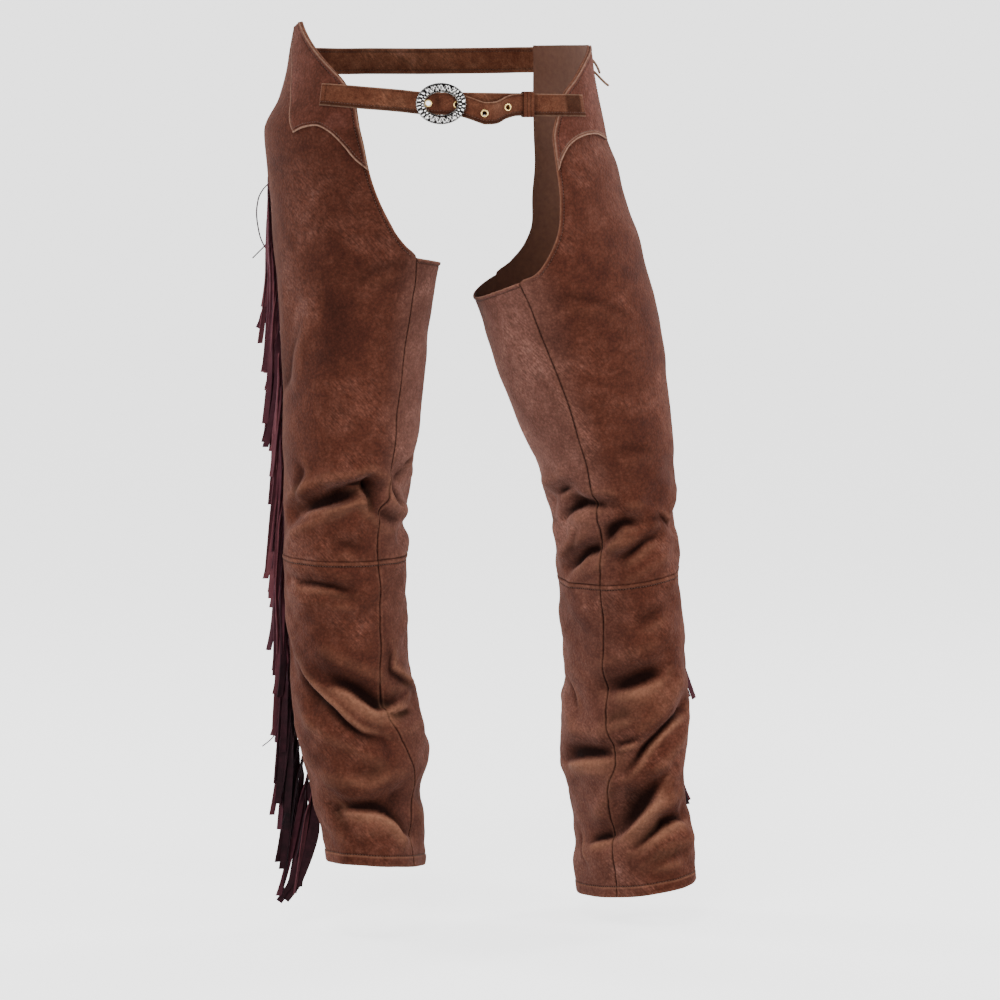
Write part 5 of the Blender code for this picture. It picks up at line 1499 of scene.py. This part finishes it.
# Painted shade: the grooves, a band along the strap's lower edge and a spot inside the buckle ring are painted dark.
strap_r, outer, normal = strap_sheet(
    "belt_strap_holed", path_r, STRAP_HIGH, STRAP_WALL, BELT, "belt_leather", ("belt_strap_R",), belt_relief,
    ((0.7, lambda along, across: across - 4.2), (0.4, lambda along, across: STRAP_HIGH - 2.2 - across),
     (0.8, lambda along, across: along - 9 + 0 * across)),
    lambda along, across: np.maximum(
        0.7 * ease(4.6, 3.4, across) + 0 * along, 0.6 * bell(along, at_buckle - 3, 4) * bell(across, 14, 6)
    ),
    (9.0, 4.5),
)
declare(outer)
stitch_lines["belt"].append(strap_line(outer, normal, 4.4, STRAP_HIGH))
for k, arc in enumerate(EYELET_ARCS):
    place = (at_buckle + arc) / length_r * (len(path_r) - 1)
    i = int(place)
    middle = between(path_r[i, :3], path_r[i + 1, :3], place - i)
    face = unit(np.cross(path_r[i + 1, :3] - path_r[i, :3], unit(path_r[i, 3:])))
    bpy.ops.mesh.primitive_cylinder_add(vertices=24, radius=(EYELET_BARREL + 0.1) * MM, depth=CUT_DEPTH * MM)
    cutter = bpy.context.object
    cutter.name = f"hole_cutter_{k + 1}"
    turn = Vector((0, 0, 1)).rotation_difference(Vector(face)).to_matrix().to_4x4()
    cutter.data.transform(Matrix.Translation(Vector(middle) * MM) @ turn)
    cutter.hide_render = True
    cutter.hide_viewport = True
    hole = strap_r.modifiers.new(f"hole_{k + 1}", "BOOLEAN")
    hole.operation = "DIFFERENCE"
    hole.object = cutter
    top = STRAP_WALL / 2
    bend = np.linspace(0, np.pi, 9)
    roll = [((EYELET_HOLE + EYELET_FLANGE) / 2 - 0.9 * np.cos(b), top + 0.2 + 0.95 * np.sin(b)) for b in bend]
    profile = [(EYELET_HOLE, -top), (EYELET_BARREL, -top), (EYELET_BARREL, top + 0.1), *roll[::-1]]
    turned(f"rolled_eyelet_{k + 1}", middle, face, profile, 36, BRASS, "eyelet_brass", (f"eyelet_{k + 1}",))

lift = LEG_WALL + YOKE_GAP + YOKE_WALL + LAP_GAP + LOOP_WALL / 2
rows = on_leg_strap("L", STRAP_L_ON_YOKE, STRAP_HIGH, lift)
rows += upright(belt_place(*row) for row in STRAP_L_FREE)
lead_in, _ = path_curve(rows, STRAP_STEPS - 12)
lead_in, _ = path_curve(lead_in, 120)
bend = BAR_HALF_THICK * BAR_CORNER + CLOSE_GAP + LOOP_WALL / 2
turn = np.linspace(0, np.pi, 16)
loop = upright(belt_place(BUCKLE_X - bend * np.sin(a), BAR_OUT - bend * np.cos(a), STRAP_L_FREE[-1][2]) for a in turn)
back_run, _ = path_curve(upright(belt_place(*row) for row in STRAP_L_RETURN), 12)
path_l = np.concatenate([lead_in, loop, back_run])
# Painted shade: the grooves, a band along the lower edge and the stretch that crosses the hip patch are painted dark.
item, outer, normal = strap_sheet(
    "belt_strap_looped", path_l, STRAP_HIGH, LOOP_WALL, BELT, "belt_leather", ("belt_strap_L",), belt_relief,
    ((0.7, lambda along, across: across - 4.2), (0.9, lambda along, across: (along - 10) + 0 * across)),
    lambda along, across: np.maximum(0.62 * ease(9, 11, along) * ease(41, 35, along), 0.7 * ease(4.6, 3.4, across)),
    (9.0, 9.0),
    -1.0,
)
declare(outer)
stitch_lines["belt"].append(strap_line(outer, normal, 4.4, STRAP_HIGH))

# Keeper: a band bent round both straps, with three raised ridges and painted shade between them

def belt_grid(x, out, up):
    """belt_place for whole arrays."""
    rows = np.array(BELT_LINE, float)
    y = smooth_through(rows[:, 0], rows[:, 1], x)
    slope = (smooth_through(rows[:, 0], rows[:, 1], x + 1) - smooth_through(rows[:, 0], rows[:, 1], x - 1)) / 2
    length = np.hypot(slope, 1.0)
    return np.stack([x + out * slope / length, y - out / length, up + 0 * x], -1)


half = STRAP_HIGH / 2 + CLOSE_GAP
low_out = KEEPER_STRAPS[0] - LOOP_WALL / 2 - CLOSE_GAP
high_out = KEEPER_STRAPS[1] + STRAP_WALL / 2 + CLOSE_GAP
x_across = np.linspace(KEEPER_X[0], KEEPER_X[1], 40)
turn = np.linspace(0, 2 * np.pi, 72, endpoint=False)
box_power = 0.22
flat_out = np.sign(-np.cos(turn)) * np.abs(np.cos(turn)) ** box_power
flat_up = np.sign(np.sin(turn)) * np.abs(np.sin(turn)) ** box_power
ridge = 0.45 * np.abs(np.sin(np.pi * (x_across - KEEPER_X[0]) / (KEEPER_X[1] - KEEPER_X[0]) * 3)) ** 0.7
skins = []
for grow in (KEEPER_WALL, 0.0):
    swell = grow + (ridge if grow else 0 * ridge)
    out = (low_out + high_out) / 2 + flat_out[None, :] * ((high_out - low_out) / 2 + swell[:, None])
    up = KEEPER_HEIGHT + flat_up[None, :] * (half + swell[:, None])
    x = x_across[:, None] + 0 * out
    skins.append(belt_grid(x, out, up))
outer_skin, inner_skin = skins
rows_k, around_k = x_across.size, turn.size
number = np.arange(rows_k * around_k).reshape(rows_k, around_k)
under = number + number.size
after = np.roll(number, -1, axis=1)
side = np.stack([number[:-1], after[:-1], after[1:], number[1:]], -1).reshape(-1, 4)
ends = [np.stack([number[e], after[e], after[e] + number.size, number[e] + number.size], -1) for e in (0, -1)]
faces = np.concatenate([side, side[:, ::-1] + number.size, ends[0][:, ::-1], ends[1]])
keeper_dark = 0.85 * ((1 - ridge / ridge.max()) ** 2.5)[:, None] + 0 * flat_out[None, :]
item = make_piece(
    "belt_keeper_ridged",
    np.concatenate([outer_skin.reshape(-1, 3), inner_skin.reshape(-1, 3)]),
    faces,
    (BELT,),
    "belt_leather",
    ("belt_keeper",),
    hollow=np.concatenate([keeper_dark.reshape(-1), keeper_dark.reshape(-1)]),
    worn=np.zeros(2 * number.size),
)

# Buckle: an oval ring of cast relief, and the bar behind the strap

centre = np.array(belt_place(BUCKLE_X, 0, BUCKLE_HEIGHT))
ahead = unit(np.array(belt_place(BUCKLE_X, 1, BUCKLE_HEIGHT)) - centre)
right = np.cross([0.0, 0.0, 1.0], -ahead)
a = np.linspace(0, 2 * np.pi, 360, endpoint=False)[:, None]
profile_s = np.concatenate([[-1.0, -1.0], np.linspace(-0.97, 0.97, 31), [1.0, 1.0]])[None, :]
mid = np.stack([RING_MID_WIDE * np.cos(a), RING_MID_HIGH * np.sin(a)], -1)
away = unit(np.stack([np.cos(a) / RING_MID_WIDE, np.sin(a) / RING_MID_HIGH], -1))
step = np.linalg.norm(np.roll(mid, -1, axis=0) - mid, axis=-1)
arc = np.cumsum(step, axis=0) - step
total = arc[-1, 0] + step[-1, 0]
side_share = ease(0.5, 0.75, np.abs(np.cos(a)))
lobe = total / round(total / 3.9)
wander = arc + 0.55 * np.sin(2 * np.pi * arc / (total / 5)) + 0.35 * np.sin(2 * np.pi * arc / (total / 13) + 1.0)
s = np.abs(profile_s)
bars = np.clip(0.5 + 0.8 * np.cos(2 * np.pi * wander / lobe + 0.5 * profile_s), 0, 1)
outer_row = bars * bell(profile_s, 0.5, 0.42)
inner_row = np.clip(0.5 + 0.8 * np.cos(2 * np.pi * wander / lobe + np.pi), 0, 1) * bell(profile_s, -0.55, 0.33)
side_pattern = np.maximum(outer_row, inner_row)
leaf = total / round(total / 7.8)
twist = 2 * np.pi * wander / leaf
strand_a = bell(profile_s, 0.55 * np.sin(twist), 0.2)
strand_b = bell(profile_s, 0.55 * np.sin(twist + 2.3), 0.17)
dots = bell(profile_s, 0.0, 0.3) * np.clip(1.6 * np.cos(2 * twist + 0.8) - 0.5, 0, 1)
top_pattern = np.clip(np.maximum(np.maximum(strand_a, strand_b), dots), 0, 1)
pattern = (side_share * side_pattern + (1 - side_share) * top_pattern) * ease(1.0, 0.86, s)
bead = 0.9 * bell(s, 0.93, 0.06) * np.clip(0.45 + 0.75 * np.cos(2 * np.pi * wander / (lobe / 2)), 0, 1)
crown = RING_EDGE + (RING_DEEP - RING_EDGE) * (1 - s**2.6)
deep = crown - 1.5 + 1.7 * pattern + 0.6 * bead
recess = np.clip(1.25 - 2.1 * pattern - 1.3 * bead, 0, 1)
deep[:, 0] = deep[:, -1] = 0.0
recess[:, [0, -1]] = 0.8
flat = mid + away * (profile_s * RING_BAND)[..., None]
points = centre + right * flat[..., :1] + np.array([0, 0, 1.0]) * flat[..., 1:]
points = points + ahead * (RING_BACK + deep)[..., None]
number = np.arange(points.shape[0] * points.shape[1]).reshape(points.shape[:2])
down = np.roll(number, -1, axis=0)
faces = np.stack([number, down, np.roll(down, -1, axis=1), np.roll(number, -1, axis=1)], -1).reshape(-1, 4)
bar_out = RING_BACK + BAR_BITE
bar_route = [(bar_out, BAR_HALF_HIGH), (BAR_OUT + 1.5, BAR_HALF_HIGH), (BAR_OUT, BAR_HALF_HIGH - 1.5)]
bar_route = np.array(bar_route + [(out, -high) for out, high in bar_route[::-1]])
bar_path = centre + ahead * bar_route[:, :1] + np.array([0, 0, 1.0]) * bar_route[:, 1:]
bar = tube("buckle_centre_bar", bar_path, BAR_HALF_THICK, 12, SILVER)
make_piece(
    "buckle_cast_ring", points, faces, (SILVER,), "cast_silver", ("buckle",), sharp=70,
    recess=recess * np.ones_like(arc),
)

# Back band

lift = LEG_WALL + LAP_GAP + STRAP_WALL / 2
rows = on_leg_strap("R", BAND_ON_R, BAND_HIGH, lift)
rows += upright(BAND_ACROSS)
rows += on_leg_strap("L", BAND_ON_L, BAND_HIGH, lift)
coarse, _ = path_curve(rows, BAND_STEPS)
path_b, _ = path_curve(coarse, 200)
# Painted shade in the band's two stitched grooves.
item, outer, normal = strap_sheet(
    "waist_band_back", path_b, BAND_HIGH, STRAP_WALL, BELT, "belt_leather", ("back_band",), belt_relief,
    ((0.5, lambda along, across: across - 4.4), (0.5, lambda along, across: BAND_HIGH - 4.4 - across)),
)
declare(outer)
stitch_lines["belt"].append(strap_line(outer, normal, 4.4, BAND_HIGH))
stitch_lines["belt"].append(strap_line(outer, normal, BAND_HIGH - 4.4, BAND_HIGH))

# Lace tie and its knot

tie = [
    leg_surface("L", np.array(float(angle)), np.array(float(level)), lift)
    for (angle, level), lift in zip(LACE_TIE, LACE_TIE_LIFT)
]
tie_path, _ = path_curve(tie, 40)
tube("thong_lace_tie", tie_path, LACE_THICK / 2, 12, THONG, ("lace_tie",))
phi = np.linspace(0.0, np.pi, 25)[:, None]
theta = np.linspace(0, 2 * np.pi, 40, endpoint=False)[None, :]
wrap = 1 - 0.13 * (0.5 + 0.5 * np.cos(2 * np.pi * (1.4 * np.cos(phi) + 0.35 * np.sin(theta) * np.sin(phi)) + 1.0))
ball = np.stack([np.sin(phi) * np.cos(theta), np.sin(phi) * np.sin(theta), np.cos(phi) + 0 * theta], -1)
ball = knot + ball * wrap[..., None] * np.array(KNOT_RADII)
faces = swept_faces(25, 40)
make_piece("thong_lace_knot", ball, faces, (THONG,), "thong_leather", ("lace_knot",))

# Fringe

def hang_spot(leg, root, drop):
    """Where strands hang, for arrays of root level and drop: points, directions round the leg and outwards."""
    level = root - drop
    falls = np.clip((CLING_LEVEL - root) / CLING_FADE, 0, 1)
    spot, round_leg, away = hang_frame(leg, between(level, root, falls))
    surface, _, _ = hang_frame(leg, level)
    spot = np.stack([spot[..., 0], spot[..., 1], level + 0 * spot[..., 0]], -1)
    bulge = np.maximum(0.0, ((surface - spot) * away).sum(-1))
    return spot + away * bulge[..., None], round_leg, away


for leg in SIDES:
    chance = np.random.default_rng(7 if leg == "R" else 11)
    first, last, lowest = FRINGE_LEVELS[leg]
    roots = np.linspace(first, last, FRINGE_ROOTS)
    lanes = np.array(LANES, float)
    root = np.repeat(roots, len(LANES))
    lane = np.tile(lanes, len(roots))
    count = len(root)
    length = chance.uniform(96, 200, count)
    length = np.minimum(length, root - lowest - chance.uniform(0, 14, count))
    flare = np.interp(root, [-820, -790, -740, -690, -640], [0.2, 0.12, 0.05, 0.0, 0.0]) if leg == "R" else 0 * root
    slope_draw = chance.uniform(0.35, 1.12, count)
    slope = HANG_SLOPE[leg] * slope_draw + flare * chance.uniform(0.4, 1.1, count)
    share = np.linspace(0, 1, STRAND_STATIONS)[None, :]
    drop = share * length[:, None]
    spot, round_leg, away = hang_spot(leg, root[:, None], drop)
    fan = ease(0, FAN_DROP, drop)
    across = lane[:, None] * between(LANE_ROOT, LANE_HANG, fan)
    sway = chance.uniform(-1, 1, count)[:, None] * 5 * np.sin(share * np.pi * chance.uniform(0.7, 1.6, count)[:, None])
    drift = chance.uniform(-3.5, 3.5, count)[:, None] * share
    across = across + (sway + drift) * fan
    base = LEG_WALL + STRIP_GAP + STRIP_WALL - 0.3
    out = base + slope[:, None] * drop + chance.uniform(0, 1.2, count)[:, None] * fan
    tip = root - length
    hooked = chance.random(count) < 0.3
    if leg == "L":
        hooked = (np.abs(tip + 715) < 10) | (np.abs(tip + 836) < 8)
    hook = np.where(hooked, chance.uniform(3, 9, count) + 8 * (leg == "L"), 0)[:, None]
    out = out + hook * share**4
    middle = spot + round_leg * across[..., None] + away * out[..., None]
    turn = chance.choice([-1.0, 1.0], count)[:, None] * chance.uniform(0.3, 1.7, count)[:, None] * ease(0, 0.35, share)
    turn += chance.uniform(-0.5, 0.5, count)[:, None] * np.sin(share * 5)
    turn *= ease(0.0, 24.0, drop)
    broad = round_leg * np.cos(turn)[..., None] + away * np.sin(turn)[..., None]
    thin = away * np.cos(turn)[..., None] - round_leg * np.sin(turn)[..., None]
    half_wide = between(ROOT_HALF, HANG_HALF * chance.uniform(0.9, 1.12, count)[:, None], ease(0, FAN_DROP * 0.8, drop))
    cup = chance.uniform(-0.9, 0.9, count)[:, None] * fan
    for half, is_broad, _, steps in STRAYS[leg]:
        route, _ = path_curve(np.array(steps, float), STRAND_STATIONS)
        spot, toward, away = hang_frame(leg, np.maximum(route[:, 0], -880.0))
        spot[:, 2] = route[:, 0]
        stray = spot + away * (LEG_WALL + route[:, 1:])
        square = unit(np.cross(np.gradient(stray, axis=0), toward))
        middle = np.concatenate([middle, stray[None]])
        broad = np.concatenate([broad, (square if is_broad else toward)[None]])
        thin = np.concatenate([thin, (toward if is_broad else square)[None]])
        ends = between(0.45, 1.0, ease(0, 0.12, share))
        half_wide = np.concatenate([half_wide, half * ends])
        cup = np.concatenate([cup, 0 * ends])
    count = len(middle)
    u = np.array([-1, -0.35, 0.35, 1, 1, 0.35, -0.35, -1.0])
    face = np.array([1, 1, 1, 1, 0, 0, 0, 0.0])
    body = middle[:, :, None] + broad[:, :, None] * (half_wide[..., None] * u)[..., None]
    deep = face * STRAND_WALL + (cup[..., None] * (1 - u**2))
    body = body + thin[:, :, None] * deep[..., None]
    around = len(u)
    per = STRAND_STATIONS * around
    faces = swept_faces(STRAND_STATIONS, around)
    cap = [(0, 1, 6, 7), (1, 2, 5, 6), (2, 3, 4, 5)]
    start = np.array(cap)
    end = np.array(cap)[:, ::-1] + per - around
    one = np.concatenate([faces, start[:, ::-1], end[:, ::-1]])
    if signed_volume(body[0].reshape(-1, 3), one) < 0:
        one = one[:, ::-1]
    every = (one[None] + per * np.arange(count)[:, None, None]).reshape(-1, 4)
    tone = chance.uniform(0.05, 0.95, count)
    upper = 0.25 + 0.7 * tone[: len(root)]
    # Painted shade: below the knee, strands that hang close to the leg are made darker.
    lower = tone[: len(root)] * between(0.05, 0.75, ease(0.5, 1.0, slope_draw))
    tone[: len(root)] = between(upper, lower, ease(-430, -640, root))
    tone[len(root) :] = [row[2] for row in STRAYS[leg]]
    tone = np.repeat(tone, per)

    strip_level = np.linspace(first + STRIP_END, last - STRIP_END, 240)
    spot, round_leg, away = hang_frame(leg, strip_level)
    edges = np.linspace(-LANE_ROOT - ROOT_HALF - STRIP_EDGE, LANE_ROOT + ROOT_HALF + STRIP_EDGE, 9)
    lip = -0.4 * bell(np.abs(edges), edges[-1], 0.5)
    outer = spot[:, None] + round_leg[:, None] * edges[None, :, None]
    top = outer + away[:, None] * (LEG_WALL + STRIP_GAP + STRIP_WALL + lip)[None, :, None]
    low = outer + away[:, None] * (LEG_WALL + STRIP_GAP)
    strip_faces, _ = shell_faces(*outer.shape[:2])
    strip = np.concatenate([top.reshape(-1, 3), low.reshape(-1, 3)])
    if signed_volume(strip, strip_faces) < 0:
        strip_faces = strip_faces[:, ::-1]
    points = np.concatenate([body.reshape(-1, 3), strip])
    faces = np.concatenate([every, strip_faces + count * per])
    item = make_piece(
        f"fringe_strands_{leg}", points, faces, (STRANDS,), "fringe_leather", (f"fringe_{leg}",), sharp=55,
        tone=np.concatenate([tone, np.full(len(strip), 0.3)]),
    )

# Stitches

for key, finish_slot in (("suede", "brown_suede"), ("yoke", "yoke_suede"), ("belt", "belt_leather")):
    stitches(f"stitches_{key}", stitch_lines[key], THREAD)

# Floor and light

radius = np.array([0.0, 0.5, 1.5, 3.0, 4.5, 6.0, 6.8, 7.3, 7.5, 7.55])
height = np.array([0, 0, 0, 0, 0, 0, 0.12, 0.5, 1.2, 3.2])
spin = np.linspace(0, 2 * np.pi, 64, endpoint=False)[:, None]
floor_points = np.stack([radius * np.cos(spin), radius * np.sin(spin), height - 0.965 + 0 * spin], -1)
number = np.arange(64 * len(radius)).reshape(64, -1)
after = np.roll(number, -1, axis=0)
floor_faces = np.stack([number[:, :-1], after[:, :-1], after[:, 1:], number[:, 1:]], -1).reshape(-1, 4)
floor_mesh = bpy.data.meshes.new("white_bowl")
floor_mesh.from_pydata(floor_points.reshape(-1, 3).tolist(), [], floor_faces.tolist())
floor_mesh.shade_smooth()
white = bpy.data.materials.new("white_backdrop")
white.use_nodes = True
white.node_tree.nodes["Principled BSDF"].inputs["Base Color"].default_value = (0.9, 0.9, 0.9, 1)
white.node_tree.nodes["Principled BSDF"].inputs["Roughness"].default_value = 0.9
white.node_tree.nodes["Principled BSDF"].inputs["Emission Color"].default_value = (1, 1, 1, 1)
white.node_tree.nodes["Principled BSDF"].inputs["Emission Strength"].default_value = 2.2
floor_mesh.materials.append(white)
floor = bpy.data.objects.new("white_bowl", floor_mesh)
bpy.context.scene.collection.objects.link(floor)
floor.visible_diffuse = False

world = bpy.data.worlds.new("white_world")
world.use_nodes = True
world.node_tree.nodes["Background"].inputs["Color"].default_value = (1, 1, 1, 1)
world.node_tree.nodes["Background"].inputs["Strength"].default_value = 0.2
bpy.context.scene.world = world


def area_light(name, place, aim, size, power, colour=(1, 1, 1)):
    """A soft box at a place, aimed at a point."""
    data = bpy.data.lights.new(name, "AREA")
    data.shape = "RECTANGLE"
    data.size, data.size_y = size
    data.energy = power
    data.color = colour
    lamp = bpy.data.objects.new(name, data)
    lamp.location = place
    lamp.rotation_euler = (Vector(aim) - Vector(place)).to_track_quat("-Z", "Y").to_euler()
    bpy.context.scene.collection.objects.link(lamp)


area_light("key", (-1.0, -2.2, 2.9), (0.05, 0, -0.6), (0.8, 0.8), 45)
area_light("side_left", (-2.0, -1.9, -0.2), (0.1, 0, -0.7), (0.6, 1.8), 53)
area_light("side_right", (2.0, -1.6, -0.2), (0.0, 0, -0.7), (0.6, 1.8), 48)
area_light("rim_left", (-2.1, 1.5, 0.6), (-0.1, 0, -0.4), (0.6, 1.8), 40)
area_light("rim_right", (2.5, 0.6, 0.6), (0.1, 0, -0.4), (0.6, 1.8), 38)
